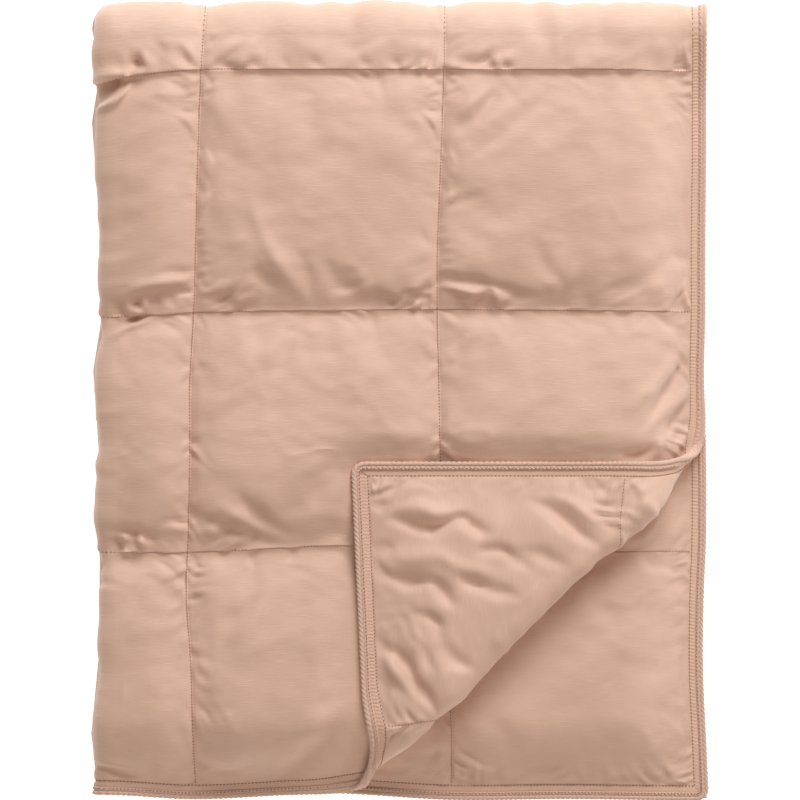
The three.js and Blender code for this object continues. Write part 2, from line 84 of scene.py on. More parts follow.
# Seams, counted from the middle of the flat throw, and how the filling rises beside them
SEAMS_ACROSS = [102, 363]
SEAMS_ALONG = [65, 322, 577]
TOP_ROWS = [-row for row in reversed(SEAMS_ALONG)]
HEM_SEAM = 14.5
EDGE_SEAM_ACROSS = CLOTH_HALF_WIDTH - HEM_SEAM
EDGE_SEAM_ALONG = CLOTH_HALF_LENGTH - HEM_SEAM
CROWN_REACH = 60
SEAM_LIFT = 4
FOLD_PINCH = 0.4

# Towards the free edges the four sheets press together
EDGE_PRESS = 0.36
FOLD_EDGE_PRESS = 0.7
PRESS_REACH = 90
FOLD_PRESS_REACH = 110
FLOOR_FLATTEN = 3
UNDER_INSET = {"third": 5, "fourth": 3}


def columns(names, rows):
    """A table as one array for each named column."""
    return {name: np.array(values, float) for name, values in zip(names.split(), zip(*rows))}


# How the seams and edges that run along the packet wander to the right (+) or left (-), at
# places from the bottom edge to the top edge of the packet
WANDER_X = columns("at fold inner outer edge", [
    (-412, -6, -1, 11, 2.5),
    (-358, -4, -3, 11, 0),
    (-283, 1.5, -5, 8, -3.5),
    (-203, 2.5, -10, 5, -2.5),
    (-144, -1, -8, 2, 0),
    (-53, 2, -6, -1, 0),
    (21, -1.5, -6, -2.5, -2.5),
    (96, 0, -2, -4, -1),
    (160, 2.5, 0, -4, -1),
    (262, -1, 2.5, 0, 0),
    (353, -5, 6, 3, 0),
    (422, -4, 10, 4, 0),
])

# How the seams and the hem that run across the packet wander up (+) or down (-)
WANDER_Y = columns("at first second third hem", [
    (-325, -17, -7, -1, 6),
    (-293, -8, -5, -1, 5),
    (-220, 0, -1, -1, 0),
    (-119, 0, 1, 4, 5),
    (-71, 0, 1.5, 6, 6),
    (42, 0, 2.5, 3, -1),
    (168, 0, 1.5, 0, 0),
    (307, 0, 0, -1, -2),
])

# Uneven filling: waves of the crown, as shares of its thickness
FILLING_WAVES = columns("share per_across per_along start", [
    (0.05, 1 / 210, 1 / 330, 0.3),
    (0.04, -1 / 140, 1 / 190, 1.7),
    (0.03, 1 / 95, 1 / 120, 2.9),
])

# The turned-back corner. It is folded on a line at 45 degrees. `out` is measured from the packet's
# bottom right corner, square to that line, and `line` along it, up and to the right.
DIAGONAL = math.sqrt(0.5)
TURN_R = 11
TURN_ARC = math.pi * TURN_R
FLAP_SHOWN = 361.4
TURN_OUT = -(FLAP_SHOWN / DIAGONAL + TURN_ARC) / 2
TURN_FADE_SHEET = 110
TURN_FADE_FLAP = 45
TURN_SLACK = 6
ROLL_SPRING = 5
SPRING_FADE = 80
FLAP_SETTLE = 80
TAPE_SLACK_FOLD = 0.5
TAPE_SLACK_TURN = 0.8
TAPE_SLACK_FADE = 60
SLANT_HOLD = 19
SLANT_FADE = 30

# How far the rolled edge of the turn is drawn back (-), from its bottom end to its top end
TURN_DRAW = columns("at back", [
    (-295, 0), (-280, -3), (-260, -10), (-238, -16), (-177, -15), (-124, -11), (-36, -16), (38, -13),
    (91, -8), (123, 1), (150, 0), (195, -2), (250, -11), (275, -3), (290, 0),
])

# How the turned-back flap is pulled out of square, over its own width and height
FLAP_PULL_X = columns("at tip foot", [(-36, -18, -3.5), (229, 9, 9), (300, 0, 0)])
FLAP_PULL_Y = columns("at up", [(-400, 0), (-347, 7), (-63, 0)])
FLAP_TIP_Y = -80
FLAP_FOOT_Y = -400
PROBE = 0.5

# The pitch of the mesh where the cloth shows and where it lies hidden, how much closer its lines
# stand at the seams, and where the inner side of the second sheet begins to show
FINE_PITCH = 3.2
COARSE_PITCH = 13
SEAM_CROWD = 0.45
CORNER_SHOWN_ACROSS = 292
CORNER_SHOWN_ALONG = 470
ROUND_FOLD = 26
QUILT_TRIANGLES = 198000
SEAM_STEPS = [0.7, 1.5, 2.5]

# The cloth that is simulated flat: its pitch, how much longer than its seams it is cut, how stiff
# it is, and how long it is blown up. One of its metres is ten millimetres of the throw.
SHELL_PITCH = 5
SHELL_SCALE = 0.1
SEAM_GROWTH = 0.16
PANEL_GROWTH = 0.02
GROWTH_REACH = 22
SHELL_FRAMES = 22
SHELL_MASS = 0.02
SHELL_STIFFNESS = 60
SHELL_BENDING = 30
SHELL_PRESSURE = 0.05
START_JITTER = 0.25

# Which of its folds are kept, from the finest to the widest, and how high they get
FINEST_FOLD = 5
WIDEST_FOLD = 20
FOLD_GAIN = 2.1
FOLD_LIMIT = 4.5

# Shallow wrinkles all over the cloth: their height, the way they run, and how long and wide they are
CRUMPLE = 2.3
CRUMPLE_WAY = (0.94, 0.34)
CRUMPLE_PATCH = 60
CRUMPLE_BROAD = (30, 15)
CRUMPLE_SMALL = (14, 8)
CRUMPLE_RIDGE = (52, 30)

# The panel above a row of stitches hangs over it a little, with a puckered lip: how far at each row
LIPS = [1, 1.8, 1.8]
LIP_REACH = 3.5
LIP_PITCH = 16

# Half the cloth gets no thinner than this
THINNEST = 0.9

# Over what width the work on the top sheet fades: at the round fold, in the roll and in the panels
# beside it, at the hem, at the right edge and at the turn
ROUND_FADE = 30
ROLL_FADE = 24
PANEL_FADE = 70
HEM_FADE = 25
RIGHT_FADE = 120
TURN_FADE = 30

# The groove that the stitches of a channel lie in
GROOVE_REACH = 4.5
GROOVE_SHARE = 0.25
GROOVE_WIDTH = 7

# The filling has sunk in the panels of the top sheet: below a row they rise slowly, and they are full
# above the next row. `lift` is how much higher than the plain crown of the solid the sheet stands, at
# places from the top fold to the bottom edge. It is not lifted where the flap lies on it.
SLOW_RISE = 110
LIFTED = columns("at lift", [
    (0, 0), (13, 0), (20, 0.8), (28, 3.2), (36, 6.4), (44, 9.6), (50, 12), (56, 13.8), (60, 14.6), (65, 14),
    (70, 12.4), (80, 12.5), (90, 13), (116, 14.8), (142, 16), (168, 16.7), (194, 17), (219, 17), (245, 16.6),
    (271, 15.4), (296, 12.8), (310, 10), (322, 6.5),
    (330, 7), (347, 8.8), (373, 11), (399, 13.4), (425, 15.8), (450, 17.8), (475, 19), (493, 19),
    (510, 17.6), (526, 15), (540, 12.2), (552, 9.2), (565, 6.2), (577, 3.6),
    (600, 4.6), (640, 6.8), (680, 9), (720, 10.6), (750, 10), (780, 7), (805, 3.4), (828, 0),
])
UNDER_FLAP_X = (-100, -48)
UNDER_FLAP_Y = (-30, -78)
CREASE_GAIN = {"top": 1.45, "flap": 1.95, "second": 1.4}
CREASE_WAVE = 0.3

# Puckers beside the seams: how high, how far apart and how far they reach. Those past a seam lie
# elsewhere along it than those before it, and past a row they are lower
ROW_PUCKER = {"height": 9, "pitch": 21, "reach": 9}
CHANNEL_PUCKER = {"height": 3.8, "pitch": 12, "reach": 6}
HEM_PUCKER = {"height": 4, "pitch": 10, "reach": 8}
PUCKER_SLANT = 6
PUCKER_SLANT_RUN = 40
PUCKER_DEPTH = 14
PUCKER_PATCH = (38, 60)
ROW_SKIP = 57
CHANNEL_SKIP = 83
PAST_ROW_SHARE = 0.5
BOTTOM_HEM_SHARE = 0.6

# The creases of the top sheet. A crease is a soft ridge (+) or trough (-) whose middle lies at x, y
# in the packet. It runs at an angle to the width of the packet, over its length to each side.
TOP_CREASES = columns("x y angle length width height", [
    # The roll at the top, above its row of stitches
    (-285, 357, 10, 17, 6, -4.5),
    (-268, 363, -20, 12, 5, 2),
    (-255, 374, -51, 15, 5, -2.4),
    (-265, 366, -65, 9, 4, -1.6),
    (-232, 366, -37, 18, 5, -3),
    (-226, 371, -45, 15, 4, 2),
    (-189, 357, 5, 19, 5, -4),
    (-159, 362, -40, 9, 4, -1.8),
    (-125, 361, -45, 8, 3.5, -1.5),
    (-92, 361, -42, 10, 4, -1.9),
    (-41, 361, -55, 8, 3.5, -1.5),
    (-8, 359, -40, 10, 4, -2),
    (51, 358, 0, 11, 4, 2),
    (77, 363, 8, 21, 5, -3.2),
    (99, 362, -60, 10, 4, 2.6),
    (110, 358, -50, 8, 3.5, -2.4),
    # The tuck at the left, under that row
    (-308, 348, 22, 24, 6, 6),
    (-320, 331, 32, 27, 5, -17),
    (-326, 322, 41, 24, 5, -14),
    (-307, 320, 41, 27, 4, 6),
    # The notches where the next two rows run round the fold at the left
    (-317, 88, 2, 14, 3.5, -6),
    (-318, -161, 4, 14, 3.5, -6),
    # Left column, first row of panels
    (-262, 328, 27, 32, 9, 1.8),
    (-305, 186, 15, 32, 10, -1.5),
    (-312, 163, -20, 22, 8, -1.2),
    (-239, 138, 8, 22, 4, -2),
    (-258, 125, 12, 36, 5, 2.6),
    (-257, 112, 14, 40, 7, -4.2),
    (-285, 97, -20, 11, 4, 3),
    (-245, 105, 80, 7, 3, -1.8),
    # Middle column, first row
    (-203, 250, 30, 20, 6, 1.2),
    (-85, 257, 10, 38, 14, -2),
    (-130, 148, -58, 54, 8, 2.6),
    (-102, 134, -75, 28, 6, -1.8),
    (-149, 134, -50, 22, 8, -2.4),
    (-68, 130, -40, 26, 9, -2.8),
    (-45, 132, -60, 24, 7, 1.5),
    (-190, 107, -15, 20, 6, -2.4),
    (-33, 108, 0, 36, 7, -2.4),
    (-13, 107, -45, 9, 3.5, -2),
    (27, 171, -45, 14, 5, -1.2),
    (10, 113, -30, 11, 4, -1.8),
    (19, 106, 20, 10, 4, 1.8),
    (33, 125, 20, 10, 3, -1.8),
    # Right column, first row
    (75, 317, 48, 28, 5, 1.5),
    (84, 310, 44, 32, 6, -2.2),
    (100, 303, 40, 40, 6, 1.5),
    (115, 293, 38, 55, 7, -2.4),
    (66, 221, 14, 22, 4, 1),
    (66, 214, 14, 24, 5, -1.5),
    (102, 195, 20, 24, 7, -1.2),
    (152, 148, -55, 30, 9, -2.6),
    (177, 131, 65, 20, 5, 2.2),
    (208, 120, 50, 13, 4.5, 1.5),
    (254, 134, 25, 48, 12, -3.4),
    (300, 205, 90, 36, 4, -1.5),
    (298, 152, -20, 15, 5, -1.2),
    (74, 127, -6, 40, 5, -3.8),
    (70, 117, -8, 28, 4, 3.6),
    (100, 112, -60, 12, 4, 3),
    (121, 115, -15, 22, 6, -3),
    (70, 107, 15, 11, 4, 1.8),
    # Left column, second row
    (-284, 87, 22, 18, 4, -3.4),
    (-290, 79, 28, 24, 4.5, 3.6),
    (-300, 40, -60, 30, 9, -1.2),
    (-285, -140, -12, 32, 4.5, -3),
    (-290, -147, -12, 28, 4, 2.2),
    (-240, -128, -5, 18, 4, -1.8),
    (-240, -136, -5, 18, 4, 1.6),
    (-293, -158, -60, 9, 4, 2.4),
    # Middle column, second row
    (-159, 37, 38, 74, 13, 2.6),
    (-121, 59, 62, 38, 8, -2.6),
    (-186, -14, 22, 38, 9, -1.5),
    (-99, -96, 50, 38, 12, -3.2),
    (-68, -90, 65, 44, 10, 2),
    (-181, -136, -18, 50, 6, -3.8),
    (-170, -125, -25, 32, 5, 2),
    (-149, -121, -38, 36, 6, -2.4),
    (-70, -141, 5, 22, 7, -2.4),
    # Right column, second row
    (67, 51, 48, 24, 6, -1.8),
    (60, 66, 40, 14, 4, -1.2),
    (96, -23, 28, 64, 14, 1.6),
    (265, 21, 52, 40, 7, 3),
    (275, 9, 53, 48, 6, -4.4),
    (283, -4, 45, 34, 6, 3),
    (286, -21, 48, 30, 5, -3.2),
    (268, -46, 60, 16, 5, 3),
    (247, -55, 10, 18, 7, -4),
    (295, -42, 65, 18, 5, 3),
    (284, 82, -25, 24, 4, -2.4),
    (298, 69, -20, 16, 3.5, -1.8),
    # Left column, third row
    (-314, -192, -10, 16, 4, -1.8),
    (-280, -255, 10, 26, 8, -1.5),
    (-305, -384, -12, 26, 5, 1.6),
    (-308, -392, -12, 28, 5, -3),
    # Middle column, third row
    (-159, -168, 80, 10, 4, -1.8),
    (-118, -164, 55, 10, 4, -1.8),
    (-177, -235, 55, 36, 7, -2.4),
    (-160, -238, 52, 42, 8, 1.8),
    (-172, -277, 33, 64, 12, 1.7),
    (-92, -340, 25, 42, 10, 2.4),
    (-96, -372, 40, 54, 12, -5),
    (-200, -387, -15, 26, 7, -1.8),
])

# The creases of the turned-back flap
FLAP_CREASES = columns("x y angle length width height", [
    (-22, -97, 17, 15, 3.5, -1.8),
    (-24, -92, 17, 16, 4, 1.4),
    (-24, -110, 4, 12, 5, -1.8),
    (0, -128, -4, 18, 6, -2.2),
    (22, -134, -22, 18, 6, -4),
    (36, -135, 25, 12, 5, -3),
    (50, -128, 34, 15, 5.5, -3.6),
    (68, -128, -40, 15, 5.5, -3.6),
    (82, -136, -22, 12, 6, -3),
    (25, -116, -4, 30, 8, 3),
    (-22, -156, -6, 14, 5, -2),
    (22, -165, -8, 34, 10, 2.6),
    (98, -158, -8, 20, 6, -3.2),
    (122, -168, -42, 20, 6, -2.6),
    (150, -166, -14, 32, 7, -2.2),
    (-24, -178, -40, 17, 5, -3),
    (8, -190, -8, 28, 6, -3.6),
    (44, -203, -46, 22, 6, -3.6),
    (78, -193, -22, 20, 6, -3),
    (104, -203, -19, 24, 6, -3.2),
    (72, -178, -20, 34, 7, 2),
    (30, -231, -28, 20, 5, -2.4),
    (6, -240, -62, 20, 4.5, -2),
    (24, -268, -58, 22, 4.5, -2.6),
    (38, -240, -62, 16, 6, -2),
    (58, -274, -38, 20, 7, -3),
    (-18, -262, -30, 14, 5, -2.6),
    (4, -280, -62, 22, 6, -4.2),
    (22, -308, -58, 26, 6, -4.2),
    (-4, -290, -58, 30, 7, 3),
    (14, -250, -58, 34, 7, 2.2),
    (-20, -306, -70, 14, 4, -1.5),
    (-6, -346, 25, 16, 4, 2),
    (18, -350, 50, 14, 4, -1.6),
    (176, -130, -33, 44, 7, -4),
    (188, -116, -30, 32, 6, 2.4),
    (222, -111, -6, 20, 3.5, -2.8),
    (222, -117, -8, 20, 3.5, 1.8),
    (224, -123, -8, 22, 3.5, -2.8),
    (226, -128, -10, 20, 3.5, 1.8),
    (226, -134, -14, 20, 3.5, -2.4),
    (208, -90, -35, 12, 4, -2),
    (196, -90, -50, 10, 4, -1.6),
    (256, -112, -25, 16, 6, 1.6),
])

# The creases of the second sheet, in the corner that the flap leaves open
SECOND_CREASES = columns("x y angle length width height", [
    (288, -180, -43, 26, 8, -1.8),
    (300, -289, 88, 36, 4, -2.2),
    (285, -285, 75, 38, 9, 1.6),
    (68, -377, -20, 22, 4, -1.8),
    (76, -386, -22, 26, 5, 1.4),
    (34, -375, 4, 16, 4, -1.4),
    (158, -390, 27, 30, 7, -1.8),
    (176, -300, 35, 80, 20, 1.6),
    (230, -230, 20, 50, 14, -1.2),
    (297, -370, 60, 20, 6, -1.4),
])


# Small helpers

NOISE_SPAN = 200
FAR_OFF = 999

# Each uneven thing has a seed of its own
SEEDS = {"outer_shell": 5, "flap_shell": 11, "gather_ends": 32, "gather_swell": 33, "lips": 70,
         "outer_puckers": 100, "inner_puckers": 200, "outer_wrinkles": 300, "inner_wrinkles": 310}


def smooth(value):
    f = np.clip(value, 0, 1)
    return f * f * (3 - 2 * f)


def follow(table, place, column):
    """One column of a table at places between its rows, on a soft curve through them."""
    keys, values = table["at"], table[column]
    last = len(keys) - 1
    at = np.clip(place, keys[0], keys[-1])
    i = np.clip(np.searchsorted(keys, at, side="left") - 1, 0, last - 1)
    before = np.maximum(np.arange(last + 1) - 1, 0)
    after = np.minimum(np.arange(last + 1) + 1, last)
    slopes = (values[after] - values[before]) / (keys[after] - keys[before])
    span = keys[i + 1] - keys[i]
    f = (at - keys[i]) / span
    rise = f * f * (3 - 2 * f)
    bow = f * (1 - f) * span
    return values[i] * (1 - rise) + values[i + 1] * rise + bow * ((1 - f) * slopes[i] - f * slopes[i + 1])


def between(stops, values, at):
    """A value that changes in straight steps between stops."""
    result = values[-1]
    for i in reversed(range(len(stops) - 1)):
        f = np.clip((at - stops[i]) / (stops[i + 1] - stops[i]), 0, 1)
        result = np.where(at <= stops[i + 1], values[i] * (1 - f) + values[i + 1] * f, result)
    return result


def nearest(distance, stops):
    return np.min([np.abs(distance - stop) for stop in stops], axis=0)


def past_nearest(distance, seams):
    """Whether a place lies past the seam that is nearest to it, and not before it."""
    past = np.min([np.where(distance >= seam, distance - seam, FAR_OFF) for seam in seams], axis=0)
    return past == nearest(distance, seams)


def soft_noise(u, v, seed):
    """Smooth noise from 0 to 1, with one random value at each whole number."""
    i, j = np.floor(u).astype(int), np.floor(v).astype(int)
    dots = np.random.default_rng(seed).random((NOISE_SPAN, NOISE_SPAN))
    fu, fv = smooth(u - i), smooth(v - j)
    i, j, i_next, j_next = (k % NOISE_SPAN for k in (i, j, i + 1, j + 1))
    low = dots[i, j] * (1 - fu) + dots[i_next, j] * fu
    high = dots[i, j_next] * (1 - fu) + dots[i_next, j_next] * fu
    return low * (1 - fv) + high * fv


# The fold map: where a point of the flat throw lies in the folded packet

def to_nearest_seam(distance, seams, edge_seam):
    return np.where(distance > edge_seam, 0, nearest(distance, [*seams, edge_seam]))


def fullness(distance):
    """How full a panel is at a distance from its seam, 0 in the seam and 1 on the crown."""
    return np.sqrt(1 - (1 - np.clip(distance / CROWN_REACH, 0, 1)) ** 2)


def press(across, along):
    """How much the sheets are pressed together at a place, 1 where they lie free."""
    near_fold = np.maximum(smooth(1 - across / FOLD_PRESS_REACH), smooth(1 - along / FOLD_PRESS_REACH))
    least = EDGE_PRESS + (FOLD_EDGE_PRESS - EDGE_PRESS) * near_fold
    free = smooth((HALF_WIDTH - across) / PRESS_REACH) * smooth((HALF_LENGTH - along) / PRESS_REACH)
    return least + (1 - least) * free


def press_at(x, y):
    """The same, at a place of the folded packet."""
    across = x - FIRST_FOLD_X + (QUARTER - 1) * FIRST_FOLD_R
    along = SECOND_FOLD_Y - y + QUARTER * SECOND_FOLD_R
    return press(np.maximum(across, 0), np.maximum(along, 0))


def filling_share(across, along):
    share = np.ones_like(across)
    for row in range(len(FILLING_WAVES["share"])):
        wave = {name: values[row] for name, values in FILLING_WAVES.items()}
        phase = 2 * math.pi * (across * wave["per_across"] + along * wave["per_along"]) + wave["start"]
        share = share - wave["share"] * (1 - np.sin(phase)) / 2
    return share


def bend(past, arc):
    """How far a place is turned round a fold of the given arc, from 0 beside it to 1 in its middle."""
    return np.where((past > 0) & (past < arc), np.sin(math.pi * past / arc), 0)


def flat_out(across, along):
    """How far out towards the loose corner a place lies before the corner is turned back."""
    return (across - HALF_WIDTH - (along + HALF_LENGTH)) * DIAGONAL


def bends(across, along):
    past = flat_out(across, along) - TURN_OUT
    on_top = (across > 0) & (along < 0)
    beyond = np.maximum(np.maximum(-past, past - TURN_ARC), 0)
    return {
        "first": bend(across + QUARTER * FIRST_FOLD_R, math.pi * FIRST_FOLD_R),
        "second": bend(along + QUARTER * SECOND_FOLD_R, math.pi * SECOND_FOLD_R),
        "turn": np.where(on_top, bend(past, TURN_ARC), 0),
        "beyond_turn": np.where(on_top, beyond, math.inf),
    }


def half_thickness(across, along):
    """Half the thickness of the cloth at a place, away from the folds."""
    a, l = np.abs(across), np.abs(along)
    inside = np.minimum(EDGE_SEAM_ACROSS - a, EDGE_SEAM_ALONG - l)
    full = (fullness(to_nearest_seam(a, SEAMS_ACROSS, EDGE_SEAM_ACROSS))
            * fullness(to_nearest_seam(l, SEAMS_ALONG, EDGE_SEAM_ALONG)))
    rise = (CROWN_THICK - SEAM_THICK) * full * press(a, l) * filling_share(across, along)
    return np.where(inside <= 0, HEM_THICK / 2, (SEAM_THICK + rise) / 2)


def thickness(across, along):
    """How thick the cloth is to each side of its middle. The filling gives way inside a fold."""
    half = half_thickness(across, along)
    turned = bends(across, along)
    outside = np.maximum(turned["turn"], np.where(across < 0, turned["second"], 0))
    inside = np.maximum(turned["first"], np.where(across > 0, turned["second"], 0))
    return half * (1 - FOLD_PINCH * outside), half * (1 - FOLD_PINCH * inside)


def fold_twice(across, along):
    """The middle of a sheet, with its height in the stack of four before they are pressed together."""
    a, l = np.abs(across), np.abs(along)
    first_angle = np.clip(across / FIRST_FOLD_R, -QUARTER, QUARTER)
    second_angle = np.clip(along / SECOND_FOLD_R, -QUARTER, QUARTER)
    loop_r = SECOND_FOLD_R + FIRST_FOLD_R * np.sin(first_angle)
    # A seam that runs round a fold stands out with it, so that it notches the edge only a little
    notch_first = 1 - to_nearest_seam(l, SEAMS_ALONG, EDGE_SEAM_ALONG) / CROWN_REACH
    notch_second = 1 - to_nearest_seam(a, SEAMS_ACROSS, EDGE_SEAM_ACROSS) / CROWN_REACH
    out_first = SEAM_LIFT * np.maximum(notch_first, 0) ** 2 * np.cos(first_angle)
    out_second = SEAM_LIFT * np.maximum(notch_second, 0) ** 2 * np.cos(second_angle)
    past_first = np.maximum(a - QUARTER * FIRST_FOLD_R, 0)
    past_second = np.maximum(l - QUARTER * SECOND_FOLD_R, 0)
    x = FIRST_FOLD_X + FIRST_FOLD_R * (1 - np.cos(first_angle)) + past_first - out_first
    y = SECOND_FOLD_Y + loop_r * np.cos(second_angle) - past_second + out_second
    return x, y, STACK_MIDDLE - loop_r * np.sin(second_angle)


def pressed_height(z, pressing):
    return z * pressing - FLOOR_FLATTEN * (pressing - EDGE_PRESS) / (1 - EDGE_PRESS)


def turn_back(x, y, z, sideways, upwards):
    """The top sheet: past the diagonal line it rolls over and lies face down on itself."""
    from_right = x - PACKET_WIDTH / 2
    from_bottom = y + PACKET_LENGTH / 2
    past = (from_right - from_bottom) * DIAGONAL - TURN_OUT
    line = (from_right + from_bottom) * DIAGONAL
    turned = np.clip(math.pi * past / TURN_ARC, 0, math.pi)
    on_flap = smooth((past - TURN_ARC / 2) / FLAP_SETTLE)

    from_crest = past - TURN_ARC / 2
    fade_sheet = smooth(1 + from_crest / TURN_FADE_SHEET)
    fade_flap = smooth(1 - from_crest / TURN_FADE_FLAP)
    fade = np.where(from_crest < 0, fade_sheet, fade_flap)
    drawn = follow(TURN_DRAW, line, "back") * fade
    placed = np.minimum(past, 0) + TURN_R * np.sin(turned) - np.maximum(past - TURN_ARC, 0)
    new_out = TURN_OUT + placed + drawn

    new_x = PACKET_WIDTH / 2 + (line + new_out) * DIAGONAL
    new_y = -PACKET_LENGTH / 2 + (line - new_out) * DIAGONAL
    to_tip = np.clip((new_y - FLAP_FOOT_Y) / (FLAP_TIP_Y - FLAP_FOOT_Y), 0, 1)
    pull_x = follow(FLAP_PULL_X, new_x, "foot") * (1 - to_tip) + follow(FLAP_PULL_X, new_x, "tip") * to_tip
    pull_y = follow(FLAP_PULL_Y, new_y, "up")
    new_x = new_x + pull_x * on_flap + sideways * (1 - on_flap)
    new_y = new_y + pull_y * on_flap + upwards * (1 - on_flap)

    # The flap lies on the top sheet, which is pressed as the packet is where the flap comes to rest
    under = press_at(new_x, new_y)
    crown_rise = (CROWN_THICK - SEAM_THICK) / 2 * (under + press_at(x, y))
    spring = ROLL_SPRING * smooth(1 - (past - TURN_ARC) / SPRING_FADE) + TURN_SLACK * (1 - under)
    rise = (SEAM_THICK + LAYER_GAP + crown_rise + spring) * (1 - np.cos(turned)) / 2
    return new_x, new_y, pressed_height(z, under) + rise


def middle(across, along):
    """The middle of the cloth at a place of the flat throw, as it lies folded."""
    a, l = np.abs(across), np.abs(along)
    x, y, z = fold_twice(across, along)
    shifts = [follow(WANDER_X, y, column) for column in ("fold", "inner", "outer", "edge")]
    sideways = between([0, *SEAMS_ACROSS, HALF_WIDTH], shifts, a)
    lifts = [follow(WANDER_Y, x, column) for column in ("first", "second", "third", "hem")]
    lifts = [np.zeros_like(x), *lifts]
    upwards = between([0, *SEAMS_ALONG, HALF_LENGTH], lifts, l)
    on_third = smooth(-across / FOLD_PRESS_REACH)
    under = UNDER_INSET["fourth"] + (UNDER_INSET["third"] - UNDER_INSET["fourth"]) * on_third
    inset = np.where(along > 0, under, 0)
    plain_x = x + sideways - inset * smooth(a / HALF_WIDTH) * smooth(l / FOLD_PRESS_REACH)
    plain_y = y + upwards + inset * smooth(l / HALF_LENGTH)
    plain = (plain_x, plain_y, pressed_height(z, press_at(plain_x, plain_y)))
    on_top = (across > 0) & (along < 0)
    turned = turn_back(x, y, z, sideways, upwards)
    return np.stack([np.where(on_top, t, p) for t, p in zip(turned, plain)], axis=-1)


def in_cloth(across, along, height):
    """Points of the cloth at a height above its middle, measured towards its outer side."""
    east = middle(across + PROBE, along) - middle(across - PROBE, along)
    north = middle(across, along + PROBE) - middle(across, along - PROBE)
    outward = np.cross(east, north)
    outward /= np.linalg.norm(outward, axis=-1, keepdims=True)
    points = middle(across, along) + outward * height[..., None]
    points[..., 2] = np.maximum(points[..., 2], 0)
    return points


# The shell, simulated flat

def panel_lines(stops, pitch, crowd=0.0):
    """Lines from stop to stop, about a pitch apart and closer together at the stops."""
    lines = [stops[0]]
    for low, high in zip(stops, stops[1:]):
        count = max(1, round((high - low) / pitch))
        t = np.arange(1, count + 1) / count
        lines.extend(low + (high - low) * (t - crowd * np.sin(2 * math.pi * t) / (2 * math.pi)))
    return np.array(lines)


def grid_faces(rows, cols, start=0):
    index = start + np.arange(rows * cols).reshape(rows, cols)
    corners = (index[:-1, :-1], index[1:, :-1], index[1:, 1:], index[:-1, 1:])
    return np.stack(corners, axis=-1).reshape(-1, 4)


def new_mesh(name, points, faces):
    mesh = bpy.data.meshes.new(name)
    mesh.from_pydata(points.tolist(), [], faces)
    thing = bpy.data.objects.new(name, mesh)
    bpy.context.scene.collection.objects.link(thing)
    return thing


def pick(thing):
    """Selects one thing and nothing else, for an operator to act on."""
    bpy.ops.object.select_all(action="DESELECT")
    thing.select_set(True)
    bpy.context.view_layer.objects.active = thing


def points_of(thing):
    points = np.empty(len(thing.data.vertices) * 3, np.float32)
    thing.data.vertices.foreach_get("co", points)
    return points.reshape(-1, 3)


def place_points(thing, points):
    thing.data.vertices.foreach_set("co", points.ravel())
    thing.data.update()


def blur(field, width, pitch):
    """A field on an even grid, made soft over a width."""
    reach = int(3 * width / pitch)
    weights = np.exp(-0.5 * (np.arange(-reach, reach + 1) * pitch / width) ** 2)
    weights /= weights.sum()
    for axis in (0, 1):
        pad = [(reach, reach) if i == axis else (0, 0) for i in (0, 1)]
        wide = np.pad(field, pad, mode="reflect", reflect_type="odd")
        steps = np.arange(field.shape[axis])
        field = sum(w * np.take(wide, steps + k, axis=axis) for k, w in enumerate(weights))
    return field


